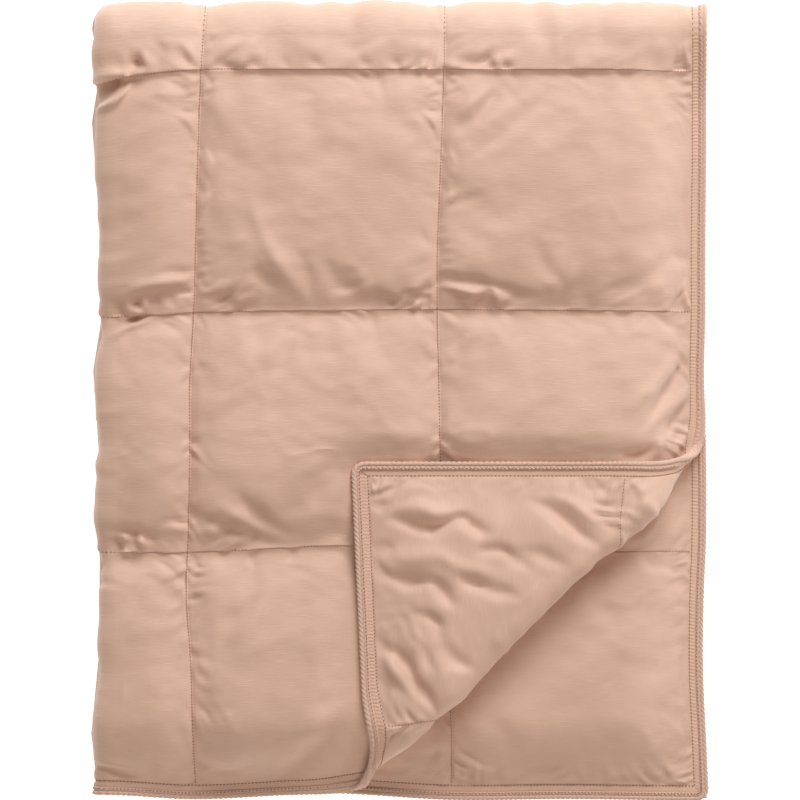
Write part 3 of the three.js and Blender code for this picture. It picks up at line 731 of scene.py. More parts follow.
def blown_shell(stops_across, stops_along, seed):
    """Sews a flat shell along its seams, blows it up a little and keeps the folds that it throws."""
    lines_across = panel_lines(stops_across, SHELL_PITCH)
    lines_along = panel_lines(stops_along, SHELL_PITCH)
    across, along = np.meshgrid(lines_across, lines_along, indexing="ij")
    from_seam = np.minimum(nearest(across, stops_across), nearest(along, stops_along))
    uneven = 0.35 + 1.3 * soft_noise(across / 38, along / 38, seed)
    slow = soft_noise(across / 90, along / 90, seed + 1)
    at_seam = np.exp(-(from_seam / GROWTH_REACH) ** 2)
    growth = PANEL_GROWTH * (0.5 + slow) + (SEAM_GROWTH - PANEL_GROWTH) * at_seam * uneven
    rng = np.random.default_rng(seed + 2)
    loose = from_seam > 1
    start = np.stack([
        across + rng.normal(size=across.shape) * START_JITTER * loose,
        along + rng.normal(size=across.shape) * START_JITTER * loose,
        np.zeros_like(across),
    ], axis=-1)
    shell = new_mesh("flat_shell", start.reshape(-1, 3) * SHELL_SCALE, grid_faces(*across.shape).tolist())
    sewn = shell.vertex_groups.new(name="sewn")
    sewn.add(np.nonzero(~loose.ravel())[0].tolist(), 1.0, "REPLACE")
    longer = shell.vertex_groups.new(name="longer")
    percent = np.round(100 * growth / growth.max()).astype(int).ravel()
    for level in range(101):
        longer.add(np.nonzero(percent == level)[0].tolist(), level / 100, "REPLACE")

    cloth = shell.modifiers.new("cloth", "CLOTH")
    settings = cloth.settings
    settings.quality = 5
    settings.mass = SHELL_MASS
    settings.vertex_group_mass = sewn.name
    settings.tension_stiffness = SHELL_STIFFNESS
    settings.compression_stiffness = SHELL_STIFFNESS
    settings.shear_stiffness = SHELL_STIFFNESS * 0.4
    settings.bending_stiffness = SHELL_BENDING
    settings.tension_damping = 2
    settings.compression_damping = 2
    settings.shear_damping = 2
    settings.bending_damping = 0.5
    settings.air_damping = 0.5
    settings.vertex_group_shrink = longer.name
    settings.shrink_max = -growth.max()
    settings.use_pressure = True
    settings.uniform_pressure_force = SHELL_PRESSURE
    settings.effector_weights.gravity = 0
    cloth.collision_settings.use_collision = False
    cloth.point_cache.frame_start = 1
    cloth.point_cache.frame_end = SHELL_FRAMES + 1
    for number in range(1, SHELL_FRAMES + 1):
        bpy.context.scene.frame_set(number)
    shown = shell.evaluated_get(bpy.context.evaluated_depsgraph_get())
    height = points_of(shown).reshape(*across.shape, 3)[..., 2] / SHELL_SCALE
    bpy.data.objects.remove(shell)
    bpy.context.scene.frame_set(1)
    folds = blur(height, FINEST_FOLD, SHELL_PITCH) - blur(height, WIDEST_FOLD, SHELL_PITCH)
    folds *= smooth(from_seam / 6)
    return lines_across, lines_along, FOLD_LIMIT * np.tanh(FOLD_GAIN * folds / FOLD_LIMIT)


def read_grid(grid, across, along):
    """A field on a grid of lines, read at any place."""
    lines_across, lines_along, field = grid
    i = np.clip(np.searchsorted(lines_across, across) - 1, 0, len(lines_across) - 2)
    j = np.clip(np.searchsorted(lines_along, along) - 1, 0, len(lines_along) - 2)
    u = np.clip((across - lines_across[i]) / (lines_across[i + 1] - lines_across[i]), 0, 1)
    v = np.clip((along - lines_along[j]) / (lines_along[j + 1] - lines_along[j]), 0, 1)
    low = field[i, j] * (1 - u) + field[i + 1, j] * u
    high = field[i, j + 1] * (1 - u) + field[i + 1, j + 1] * u
    return low * (1 - v) + high * v


# The quilt

def round_the_corners(across, along):
    """Draws the square corners of the grid in to round ones."""
    over_across = np.clip((np.abs(across) - (CLOTH_HALF_WIDTH - CORNER_R)) / CORNER_R, 0, 1)
    over_along = np.clip((np.abs(along) - (CLOTH_HALF_LENGTH - CORNER_R)) / CORNER_R, 0, 1)
    in_across = CORNER_R * over_across * (1 - np.sqrt(1 - over_along ** 2 / 2))
    in_along = CORNER_R * over_along * (1 - np.sqrt(1 - over_across ** 2 / 2))
    return across - np.sign(across) * in_across, along - np.sign(along) * in_along


def quilt_lines(half, edge_seam, seams, shown_from, fine_between):
    """Grid lines over the whole width or length, fine where the cloth shows."""
    mirrored = [-seam for seam in reversed(seams)]
    fold = [-ROUND_FOLD, 0, ROUND_FOLD]
    stops = sorted({-half, -edge_seam, *mirrored, -shown_from, *fold, *seams, edge_seam, half})
    lines = [stops[0]]
    for low, high in zip(stops, stops[1:]):
        fine = fine_between(low, high)
        pitch, crowd = (FINE_PITCH, SEAM_CROWD) if fine else (COARSE_PITCH, 0)
        lines.extend(panel_lines([low, high], pitch, crowd)[1:])
        if fine and high - low > 4 * SEAM_STEPS[-1]:
            lines.extend(low + step for step in SEAM_STEPS)
            lines.extend(high - step for step in SEAM_STEPS)
    return np.unique(np.round(lines, 3))


def creases(table, gain, place):
    """The height that a table of creases adds at places of the packet."""
    x, y = place[..., 0], place[..., 1]
    height = np.zeros_like(x)
    for row in zip(*table.values()):
        at_x, at_y, angle, length, width, rise = row
        east, north = math.cos(math.radians(angle)), math.sin(math.radians(angle))
        forward = (x - at_x) * east + (y - at_y) * north
        aside = (y - at_y) * east - (x - at_x) * north
        near = (np.abs(forward) < 1.2 * length) & (np.abs(aside) < 3 * width)
        taper = np.cos(QUARTER * np.clip(np.abs(forward[near]) / length / 1.2, 0, 1)) ** 1.4
        wavy = aside[near] + CREASE_WAVE * width * np.sin(3 * forward[near] / length + at_x)
        height[near] += gain * rise * taper * np.exp(-(wavy / width / (0.6 + 0.5 * taper)) ** 2)
    return height


def puckers(kind, from_seam, along_seam, seed):
    """Small uneven ripples that run out slanting from a seam."""
    slant = PUCKER_SLANT * (soft_noise(along_seam / PUCKER_SLANT_RUN, along_seam * 0, seed + 9) - 0.5)
    run = (2 * along_seam + slant * from_seam) / kind["pitch"]
    ripple = soft_noise(run, from_seam / PUCKER_DEPTH, seed) - 0.5
    patches = soft_noise(along_seam / PUCKER_PATCH[0], from_seam / PUCKER_PATCH[1], seed + 5)
    strength = np.maximum(2.4 * patches - 0.4, 0)
    near = from_seam / kind["reach"]
    return kind["height"] * ripple * strength * near * np.exp(1 - near)


def seam_puckers(across, along, seed):
    """Puckers beside every row, channel and hem of one side of the throw."""
    a, l = np.abs(across), np.abs(along)
    rows = nearest(l, SEAMS_ALONG)
    channels = nearest(a, SEAMS_ACROSS)
    past_row = past_nearest(l, SEAMS_ALONG)
    past_channel = past_nearest(a, SEAMS_ACROSS)
    hem_across = np.maximum(EDGE_SEAM_ACROSS - a, 0)
    hem_along = np.maximum(EDGE_SEAM_ALONG - l, 0)
    at_rows = puckers(ROW_PUCKER, rows, across + ROW_SKIP * past_row, seed)
    at_channels = puckers(CHANNEL_PUCKER, channels, along + CHANNEL_SKIP * past_channel, seed + 20)
    return (at_rows * smooth(channels / 8) * np.where(past_row, PAST_ROW_SHARE, 1)
            + at_channels * smooth(rows / 16)
            + puckers(HEM_PUCKER, hem_across, along, seed + 40)
            + puckers(HEM_PUCKER, hem_along, across, seed + 60) * BOTTOM_HEM_SHARE)


def kept_thick(half, folds):
    """Half the thickness with the folds added, never thinner than the two cloths."""
    total = half + folds
    return np.where(total > THINNEST + 1, total, THINNEST + np.exp(np.minimum(total - THINNEST - 1, 0)))


def turned_past(across, along):
    """How far a place of the top sheet lies past the start of the turn, and below 0 on other sheets."""
    return np.where((across > 0) & (along < 0), flat_out(across, along) - TURN_OUT, -FAR_OFF)


def lip_shift(across, along):
    """How far the upper panel's edge hangs down over each row of stitches of the top sheet."""
    shift = np.zeros_like(across)
    for row, seam in enumerate(SEAMS_ALONG):
        past = np.maximum(along + seam, 0) / LIP_REACH
        uneven = 0.4 + 1.2 * soft_noise(across / LIP_PITCH, along * 0, SEEDS["lips"] + row)
        shift += LIPS[row] * uneven * past * np.exp(1 - past)
    shown = smooth((across + ROUND_FOLD) / ROUND_FADE) * smooth((EDGE_SEAM_ACROSS - across) / HEM_FADE)
    return shift * shown * smooth(-turned_past(across, along) / TURN_FADE) * (along < SEAMS_ALONG[0])


def in_groove(across):
    """1 in a channel's row of stitches, and 0 where its groove ends."""
    return 1 - smooth(nearest(np.abs(across), SEAMS_ACROSS) / GROOVE_REACH)


def sunk_filling(across, along, half, place):
    """The height that the panels of the top sheet gain, and what they lose below a row."""
    down = np.min([np.where(along <= row, row - along, FAR_OFF) for row in TOP_ROWS], axis=0)
    slow = np.sin(QUARTER * np.clip(down / SLOW_RISE, 0, 1)) / np.maximum(fullness(down), 0.01)
    slower = np.where(down < SLOW_RISE, (half - SEAM_THICK / 2) * (slow - 1), 0)

    right, below = (smooth((place[..., axis] - start) / (end - start))
                    for axis, (start, end) in enumerate((UNDER_FLAP_X, UNDER_FLAP_Y)))
    from_fold_roll = smooth((across + 2) / ROLL_FADE)
    from_fold_below = np.sin(QUARTER * np.clip(across / PANEL_FADE, 0, 1))
    from_fold = np.where(along > TOP_ROWS[-1], from_fold_roll, from_fold_below)
    from_edges = smooth((CLOTH_HALF_WIDTH - across) / RIGHT_FADE) * from_fold
    lift = np.where(along < 0, follow(LIFTED, -along, "lift"), 0) * (1 - right * below) * from_edges
    from_channel = nearest(np.abs(across), SEAMS_ACROSS)
    beside_channel = 1 - GROOVE_SHARE * np.exp(-(from_channel / GROOVE_WIDTH) ** 2)
    return slower * smooth((across + ROUND_FOLD) / ROUND_FADE) + lift * beside_channel


def crumple(across, along, seed):
    """Shallow uneven wrinkles all over the cloth, in patches."""
    cosine, sine = CRUMPLE_WAY
    along_it, aside = across * cosine + along * sine, along * cosine - across * sine
    patches = smooth(1.6 * soft_noise(across / CRUMPLE_PATCH, along / CRUMPLE_PATCH, seed) - 0.3)
    broad = 0.7 * soft_noise(along_it / CRUMPLE_BROAD[0], aside / CRUMPLE_BROAD[1], seed + 1)
    small = 0.5 * soft_noise(across / CRUMPLE_SMALL[0], along / CRUMPLE_SMALL[1], seed + 2)
    ridge = soft_noise(along_it / CRUMPLE_RIDGE[0], aside / CRUMPLE_RIDGE[1], seed + 3)
    ridge = (1 - np.abs(2 * ridge - 1)) ** 5 - 0.2
    return CRUMPLE * (broad + small - 0.6 + 0.55 * ridge) * (0.35 + 0.65 * patches)


class Throw:
    """The dressed cloth: where its outer and its inner side lie, at any place of the flat throw."""

    def __init__(self):
        self.outer_shell = blown_shell(
            [-SEAMS_ACROSS[0], *SEAMS_ACROSS, EDGE_SEAM_ACROSS],
            [-EDGE_SEAM_ALONG, *TOP_ROWS, SEAMS_ALONG[0]], SEEDS["outer_shell"])
        self.flap_shell = blown_shell(
            [*SEAMS_ACROSS, EDGE_SEAM_ACROSS],
            [-EDGE_SEAM_ALONG, *TOP_ROWS[:2]], SEEDS["flap_shell"])

    def outer(self, across, along, lift=0.0):
        past = turned_past(across, along)
        shown = smooth(1 - past / TURN_ARC)
        a = np.where(across < -SEAMS_ACROSS[0], -across, across)
        l = np.where(along > SEAMS_ALONG[0], -along, along)
        inside = (a < EDGE_SEAM_ACROSS) & (l > -EDGE_SEAM_ALONG)
        place = middle(across, along)
        half = thickness(across, along)[0]
        folds = read_grid(self.outer_shell, a, l) * half / (CROWN_THICK / 2)
        wrinkles = crumple(across, along, SEEDS["outer_wrinkles"]) * half / (CROWN_THICK / 2)
        folds = folds + seam_puckers(across, along, SEEDS["outer_puckers"]) + wrinkles
        on_top = (across > -ROUND_FOLD) & (along < SEAMS_ALONG[0]) & (past < TURN_ARC / 2)
        marks = creases(TOP_CREASES, CREASE_GAIN["top"], place)
        round_fold = np.where(marks > 0, smooth((across + 2) / 20), smooth((across + 24) / 12))
        folds = folds + np.where(on_top, marks * round_fold, 0)
        folds = folds + np.where(on_top, sunk_filling(across, along, half, place), 0)
        folds = folds - in_groove(a) * (half - SEAM_THICK / 2)
        height = np.where(inside, kept_thick(half, folds * shown), half)
        return in_cloth(across, along - lip_shift(across, along) * inside, height + lift)

    def inner(self, across, along, lift=0.0):
        past = turned_past(across, along)
        in_corner = (across < -SEAMS_ACROSS[0]) & (along < -SEAMS_ALONG[1])
        inside = (np.abs(across) < EDGE_SEAM_ACROSS) & (along > -EDGE_SEAM_ALONG)
        place = middle(across, along)
        half = thickness(across, along)[1]
        folds = np.where(in_corner, read_grid(self.outer_shell, -across, along) * 0.6,
                         read_grid(self.flap_shell, across, along) * 1.4 * smooth(past / 20))
        folds = folds + crumple(across, along, SEEDS["inner_wrinkles"])
        folds = folds * half / (CROWN_THICK / 2)
        beside_seams = seam_puckers(across, along, SEEDS["inner_puckers"])
        folds = folds + np.where(in_corner | (past > 0), beside_seams, 0)
        flap_marks = creases(FLAP_CREASES, CREASE_GAIN["flap"], place)
        folds = folds + np.where(past > TURN_ARC / 2, flap_marks, 0)
        folds = folds - in_groove(across) * (half - SEAM_THICK / 2)
        corner_marks = creases(SECOND_CREASES, CREASE_GAIN["second"], place)
        folds = folds + np.where(in_corner, corner_marks, 0)
        shown = np.where(in_corner, 1, smooth(past / 25))
        height = np.where(inside, kept_thick(half, folds * shown), half)
        return in_cloth(across, along, -height - lift)


def make_quilt(throw):
    lines_across = quilt_lines(
        CLOTH_HALF_WIDTH, EDGE_SEAM_ACROSS, SEAMS_ACROSS, CORNER_SHOWN_ACROSS,
        lambda low, high: high <= -CORNER_SHOWN_ACROSS or low >= -ROUND_FOLD)
    lines_along = quilt_lines(
        CLOTH_HALF_LENGTH, EDGE_SEAM_ALONG, SEAMS_ALONG, CORNER_SHOWN_ALONG,
        lambda low, high: high <= ROUND_FOLD)
    across, along = round_the_corners(*np.meshgrid(lines_across, lines_along, indexing="ij"))
    rows, cols = across.shape
    index = np.arange(rows * cols).reshape(rows, cols)
    rim = np.concatenate([index[:-1, 0], index[-1, :-1], index[:0:-1, -1], index[0, :0:-1]])
    after = np.roll(rim, -1)
    wall = np.stack([rim, rim + rows * cols, after + rows * cols, after], axis=-1)
    sides = [side(across, along).reshape(-1, 3) for side in (throw.outer, throw.inner)]
    outer_faces = grid_faces(rows, cols)
    inner_faces = grid_faces(rows, cols, rows * cols)[:, ::-1]
    faces = np.concatenate([outer_faces, inner_faces, wall]).tolist()
    quilt = new_mesh("quilt_body", np.concatenate(sides) * MM, faces)

    flat = np.stack([across, along], axis=-1).reshape(-1, 2) * MM
    lay_pattern(quilt, np.concatenate([flat, flat + INNER_PATTERN]))
    past = turned_past(across, along)
    seen_outer = (across > -ROUND_FOLD) & (along < ROUND_FOLD) & (past < TURN_ARC)
    seen_inner = (past > 0) | ((across < -CORNER_SHOWN_ACROSS) & (along < -CORNER_SHOWN_ALONG))
    hidden = quilt.vertex_groups.new(name="hidden")
    unseen = np.concatenate([~seen_outer.ravel(), ~seen_inner.ravel()])
    hidden.add(np.nonzero(unseen)[0].tolist(), 1.0, "REPLACE")
    thin_out(quilt, hidden.name, QUILT_TRIANGLES)
    quilt.vertex_groups.clear()
    rest_on_floor(quilt)
    return quilt


def lay_pattern(thing, places):
    """Gives each point its place in the weave, so that the pattern follows the cloth."""
    corner = np.empty(len(thing.data.loops), np.int32)
    thing.data.loops.foreach_get("vertex_index", corner)
    thing.data.uv_layers.new(name="weave").data.foreach_set("uv", places[corner].ravel())


def rest_on_floor(thing):
    """Presses flat what hangs below the floor."""
    points = points_of(thing)
    points[:, 2] = np.maximum(points[:, 2], 0)
    place_points(thing, points)


def thin_out(thing, group, triangles):
    """Takes points away where they are in the group, down to a number of triangles."""
    now = sum(len(face.vertices) - 2 for face in thing.data.polygons)
    if now <= triangles:
        return
    fewer = thing.modifiers.new("fewer", "DECIMATE")
    fewer.ratio = triangles / now
    fewer.vertex_group = group
    fewer.vertex_group_factor = 10
    pick(thing)
    bpy.ops.object.modifier_apply(modifier=fewer.name)


# The edge of the cloth

def edge_places(run, inset):
    """Places at a run along the edge of the cloth and an inset from it, and the way out there.

    The run starts at the bottom left corner of the flat throw and goes anticlockwise.
    """
    run, inset = np.broadcast_arrays(np.asarray(run, float), np.asarray(inset, float))
    straights = [2 * (CLOTH_HALF_WIDTH - CORNER_R), 2 * (CLOTH_HALF_LENGTH - CORNER_R)]
    arc = QUARTER * CORNER_R
    middle_across = CLOTH_HALF_WIDTH - np.maximum(CORNER_R, inset)
    middle_along = CLOTH_HALF_LENGTH - np.maximum(CORNER_R, inset)
    radius = np.maximum(CORNER_R - inset, 0)
    found = [np.zeros_like(run)] * 4
    start = 0
    for side, (east, north) in enumerate([(1, 0), (0, 1), (-1, 0), (0, -1)]):
        straight = straights[side % 2]
        here = (run >= start) & (run < start + straight)
        f = 2 * (run - start) / straight - 1
        on_straight = [
            east * f * middle_across + north * (middle_across + radius),
            north * f * middle_along - east * (middle_along + radius),
            north,
            -east,
        ]
        found = [np.where(here, new, old) for new, old in zip(on_straight, found)]
        start += straight
        here = (run >= start) & (run < start + arc)
        angle = math.atan2(-east, north) + (run - start) / CORNER_R
        corner_across, corner_along = east + north, north - east
        on_corner = [
            corner_across * middle_across + radius * np.cos(angle),
            corner_along * middle_along + radius * np.sin(angle),
            np.cos(angle),
            np.sin(angle),
        ]
        found = [np.where(here, new, old) for new, old in zip(on_corner, found)]
        start += arc
    return found


EDGE_RUN = 4 * (CLOTH_HALF_WIDTH + CLOTH_HALF_LENGTH) + (2 * math.pi - 8) * CORNER_R


def closed_band(name, points):
    """A mesh from closed sections that follow each other in a ring."""
    stations, sides = points.shape[:2]
    here = np.arange(stations * sides).reshape(stations, sides)
    after = np.roll(here, -1, axis=0)
    faces = np.stack([here, after, np.roll(after, -1, axis=1), np.roll(here, -1, axis=1)], axis=-1)
    band = new_mesh(name, points.reshape(-1, 3) * MM, faces.reshape(-1, 4)[:, ::-1].tolist())
    pick(band)
    bpy.ops.object.mode_set(mode="EDIT")
    bpy.ops.mesh.select_all(action="SELECT")
    bpy.ops.mesh.normals_make_consistent(inside=False)
    bpy.ops.object.mode_set(mode="OBJECT")
    return band


# The tape: slanting ribs in two columns on each face, which meet the other way round

RIB_PITCH = 5.2
STEPS_IN_RIB = 4
RIB_HEIGHT = 0.85
RIB_SLANT = 1.4
TAPE_VALLEY = 0.46
TAPE_GROOVE = 0.7
TAPE_CORD = 0.7


def tape_section():
    """The section of the tape, from its lip on one side round the nose, and back along the slot."""
    nose = CLEARANCE + TAPE_WALL
    lip = nose - TAPE_COVER
    high = TAPE_THICK / 2
    slot = high - TAPE_WALL
    over = [(lip + TAPE_COVER * f, high) for f in (0, 0.1, 0.28, 0.4, TAPE_VALLEY, 0.52, 0.66, 0.8)]
    apex = [(nose - 0.7, high * 0.55), (nose - 0.7, -high * 0.55)]
    under = [(out, -height) for out, height in reversed(over)]
    inside = [(lip, -slot), (lip, slot)]
    return np.array(over + apex + under), np.array(inside)


def make_tape():
    outside, inside = tape_section()
    section = np.concatenate([outside, inside])
    steps = np.hypot(*np.diff(outside, axis=0).T)
    over = np.concatenate([[0], np.cumsum(steps)])
    from_lip = over[-1] / 2 - np.abs(over - over[-1] / 2)
    valley_at = TAPE_COVER * TAPE_VALLEY

    # The lines of the mesh follow the ribs, so they lean away from the valley to both sides
    ribs = round(EDGE_RUN / RIB_PITCH)
    rib_run = np.arange(ribs * STEPS_IN_RIB) / (ribs * STEPS_IN_RIB) * EDGE_RUN
    leaning = RIB_SLANT * np.abs(np.concatenate([from_lip, [0] * len(inside)]) - valley_at)
    run = rib_run[:, None] + leaning[None, :]
    across, along, way_across, way_along = edge_places(np.mod(run, EDGE_RUN), 0)
    turned = bends(across, along)
    slant = smooth(1 - (turned["beyond_turn"] - SLANT_HOLD) / SLANT_FADE)
    out_across = way_across + way_along * slant
    out_along = way_along + way_across * slant
    turn_slack = TAPE_SLACK_TURN * smooth(1 - turned["beyond_turn"] / TAPE_SLACK_FADE)
    slack = np.maximum(turn_slack, TAPE_SLACK_FOLD * np.maximum(turned["first"], turned["second"]))

    wave = (0.5 + 0.5 * np.cos(2 * math.pi * np.arange(len(rib_run)) / STEPS_IN_RIB)) ** 0.8
    shape = 0.3 + 0.7 * smooth(from_lip / 1.0) * smooth(np.abs(from_lip - valley_at) / 0.9)
    cord = TAPE_CORD * np.sin(math.pi * np.clip((from_lip - valley_at) / 5, 0, 1))
    rib = RIB_HEIGHT * wave[:, None] * shape + cord - TAPE_GROOVE * (np.abs(from_lip - valley_at) < 0.1)

    tangent = np.gradient(outside, axis=0)
    tangent /= np.hypot(*tangent.T)[:, None]
    push = np.zeros((len(section), 2))
    push[:len(outside)] = np.stack([-tangent[:, 1], tangent[:, 0]], axis=-1)
    rib = np.concatenate([rib, np.zeros((len(run), len(inside)))], axis=1)
    out = section[:, 0] + push[:, 0] * rib
    out = np.where(out > 0, out + turn_slack, out)
    height = section[:, 1] + push[:, 1] * rib + slack * np.sign(section[:, 1])
    points = in_cloth(across + out_across * out, along + out_along * out, height)
    tape = closed_band("edge_tape_twill", points)
    round_section = np.concatenate([over, over[-1] + 3 + np.arange(len(inside))])
    flat = np.stack(np.broadcast_arrays(run, round_section), -1)
    lay_pattern(tape, flat.reshape(-1, 2) * MM)
    return tape


# The hem: the cloth between the tape and the row of stitches beside it is drawn into small gathers

GATHER_PITCH = 3.65
GATHERS = round(EDGE_RUN / GATHER_PITCH)
STEPS_IN_GATHER = 4
GATHER_HEIGHT = 1.0
GATHER_SWELL = 60
GATHER_UNEVEN = 5
LOWER_PATTERN = 40
GATHER_INSETS = [6.2, 7.6, 9.6, 11.6, 13.2, 15.0]
GATHER_LIFTS = [0.2, 0.3, 0.3, 0.3, 0.2, 0.1]
GATHER_SHARES = [0, 0.55, 1, 1, 0.6, 0]


def make_hem():
    run = np.arange(GATHERS * STEPS_IN_GATHER) / (GATHERS * STEPS_IN_GATHER) * EDGE_RUN
    inset = np.array(GATHER_INSETS)
    across, along, way_across, way_along = edge_places(run[:, None], inset[None, :])
    wave = 0.5 + 0.5 * np.cos(2 * math.pi * run / EDGE_RUN * GATHERS)
    swell = soft_noise(run / GATHER_SWELL, run * 0, SEEDS["gather_swell"])
    ends = soft_noise(run / GATHER_UNEVEN, run * 0, SEEDS["gather_ends"])
    full = (0.4 + 0.7 * swell) * (0.6 + 0.7 * ends)
    ahead = middle(*edge_places(np.mod(run + 2, EDGE_RUN), 0)[:2]) - middle(*edge_places(run, 0)[:2])
    upright = 0.3 + 0.7 * np.abs(ahead[:, 1]) / np.linalg.norm(ahead, axis=1)
    gather = GATHER_HEIGHT * (wave * full * upright)[:, None] * np.array(GATHER_SHARES)[None, :]
    height = HEM_THICK / 2 + np.array(GATHER_LIFTS)[None, :] + gather
    upper = in_cloth(across, along, height)
    lower = in_cloth(across, along, -height)
    hem = closed_band("gathered_hem", np.concatenate([upper, lower[:, ::-1]], axis=1))
    round_section = np.concatenate([inset, LOWER_PATTERN - inset[::-1]])
    flat = np.stack(np.broadcast_arrays(run[:, None], round_section), -1)
    lay_pattern(hem, flat.reshape(-1, 2) * MM)
    return hem


# The stitches

STITCH_PITCH = 3.35
STITCH_LENGTH = 1.8
STITCH_THICK = 1.3
STITCH_LIFT = 0.2
TAPE_ROW_INSET = 6.1
TAPE_ROW_HEIGHT = TAPE_THICK / 2 + 0.5
HEM_ROW_INSET = 14.2
HEM_ROW_HEIGHT = HEM_THICK / 2 + 0.3
STITCHED_BEFORE_CORNER = 60


def one_stitch():
    """A single stitch: a ball drawn out to a grain that lies along the first axis."""
    bpy.ops.object.select_all(action="DESELECT")
    bpy.ops.mesh.primitive_uv_sphere_add(segments=5, ring_count=4, radius=0.5)
    grain = bpy.context.object
    bpy.ops.object.mode_set(mode="EDIT")
    bpy.ops.mesh.select_all(action="SELECT")
    bpy.ops.transform.rotate(value=QUARTER, orient_axis="Y", center_override=(0, 0, 0))
    bpy.ops.transform.resize(value=(STITCH_LENGTH, STITCH_THICK, STITCH_THICK), center_override=(0, 0, 0))
    bpy.ops.object.mode_set(mode="OBJECT")
    points = np.array([vertex.co[:] for vertex in grain.data.vertices])
    faces = [list(face.vertices) for face in grain.data.polygons]
    bpy.data.objects.remove(grain)
    return points, faces


def stitched_row(across, along, surface, steps_apart):
    """Places and turns the stitches of a row. The row is given by close points on a side of the cloth."""
    points = surface(across, along, STITCH_LIFT)
    ways_up = surface(across, along, STITCH_LIFT + 0.5) - points
    at = np.arange(steps_apart / 2, len(points) - 1, steps_apart)
    index = np.arange(len(points))
    place, ahead, behind = (np.stack([np.interp(at + shift, index, points[:, k]) for k in range(3)], axis=-1)
                            for shift in (0, 1, -1))
    up = np.stack([np.interp(at, index, ways_up[:, k]) for k in range(3)], axis=-1)
    forward = ahead - behind
    forward /= np.linalg.norm(forward, axis=1)[:, None]
    side = np.cross(up, forward)
    side /= np.linalg.norm(side, axis=1)[:, None]
    return place, np.stack([forward, side, np.cross(forward, side)], axis=-1)


def seam_rows(throw):
    """Every row and channel of stitches that shows, as close points on a side of the cloth."""
    step = STITCH_PITCH / 2
    runs = []
    ahead = np.arange(-EDGE_SEAM_ALONG + 2, EDGE_SEAM_ALONG - 2, step)
    for seam in SEAMS_ACROSS:
        runs.append((ahead * 0 + seam, ahead))
    for seam in SEAMS_ALONG:
        aside = np.arange(2, EDGE_SEAM_ACROSS - 2, step)
        runs.append((aside, aside * 0 + seam))
        runs.append((aside, aside * 0 - seam))
    rows = []
    for across, along in runs:
        past = turned_past(across, along)
        for shown, side in ((past < TURN_ARC, throw.outer), (past > 0, throw.inner)):
            if np.count_nonzero(shown) > 2:
                rows.append((across[shown], along[shown], side, 2))
    corner = ahead[ahead < -CORNER_SHOWN_ALONG]
    rows.append((corner * 0 - SEAMS_ACROSS[1], corner, throw.inner, 2))
    corner = np.arange(-EDGE_SEAM_ACROSS + 2, -CORNER_SHOWN_ACROSS, step)
    rows.append((corner, corner * 0 - SEAMS_ALONG[2], throw.inner, 2))
    return rows


def at_height(height, side):
    """One side of the cloth, 1 outer or -1 inner, at a height above its middle."""
    def surface(across, along, lift):
        return in_cloth(across, along, np.full_like(across, side * (height + lift)))
    return surface


def hem_rows():
    """The two rows of stitches all along the edge, with a stitch between each two gathers."""
    steps_apart = 3
    run = np.arange(GATHERS * steps_apart) / (GATHERS * steps_apart) * EDGE_RUN
    rows = []
    for inset, height in ((TAPE_ROW_INSET, TAPE_ROW_HEIGHT), (HEM_ROW_INSET, HEM_ROW_HEIGHT)):
        across, along = edge_places(run, inset)[:2]
        past = turned_past(across, along)
        outer = ((across > 0) & (along > 0)) | ((across > 0) & (along <= 0) & (past < TURN_ARC / 2))
        near_right = across < -CORNER_SHOWN_ACROSS + STITCHED_BEFORE_CORNER
        near_bottom = along < -CORNER_SHOWN_ALONG + STITCHED_BEFORE_CORNER
        inner = (past > TURN_ARC / 2) | (near_right & near_bottom)
        for shown, side in ((outer, 1), (inner, -1)):
            for part in np.split(np.arange(len(run)), np.nonzero(np.diff(shown))[0] + 1):
                part = part[-part[0] % steps_apart:]
                if len(part) > 5 and shown[part[0]]:
                    rows.append((across[part], along[part], at_height(height, side), steps_apart))
    return rows


def make_stitches(throw):
    grain, grain_faces = one_stitch()
    places, turns = zip(*(stitched_row(*row) for row in seam_rows(throw) + hem_rows()))
    places, turns = np.concatenate(places), np.concatenate(turns)
    points = places[:, None, :] + np.einsum("nij,kj->nki", turns, grain)
    points[..., 2] = np.maximum(points[..., 2], 0)
    count, size = len(places), len(grain)
    faces = [[corner + size * copy for corner in face] for copy in range(count) for face in grain_faces]
    return new_mesh("stitches", points.reshape(-1, 3) * MM, faces)


# Materials

CLOTH_COLOUR = (0.76, 0.505, 0.375, 1)
TAPE_COLOUR = (0.74, 0.5, 0.385, 1)
# The stitches' colour is partly the thread's own and partly painted shade of the needle holes, so it is much
# darker than the cloth
THREAD_AND_HOLE_SHADE_COLOUR = (0.36, 0.165, 0.12, 1)
FLOOR_COLOUR = (0.95, 0.95, 0.95, 1)
SPECULAR = 0.4

# How fine the threads, slubs, grain and clouds are, in a metre along the threads and across them
THREADS = (70, 1100)
SLUBS = (34, 800)
GRAIN = (2200, 2200)
CLOUDS = (9, 14)
TAPE_THREADS = (500, 1800)
THREAD_GRAIN = 400
WEAVE_HEIGHT = 0.0003

# The pattern of the inner side starts this many metres further on, and its threads stand up less
INNER_PATTERN = 5.0
INNER_FROM = INNER_PATTERN / 2
INNER_SHARE = 0.3


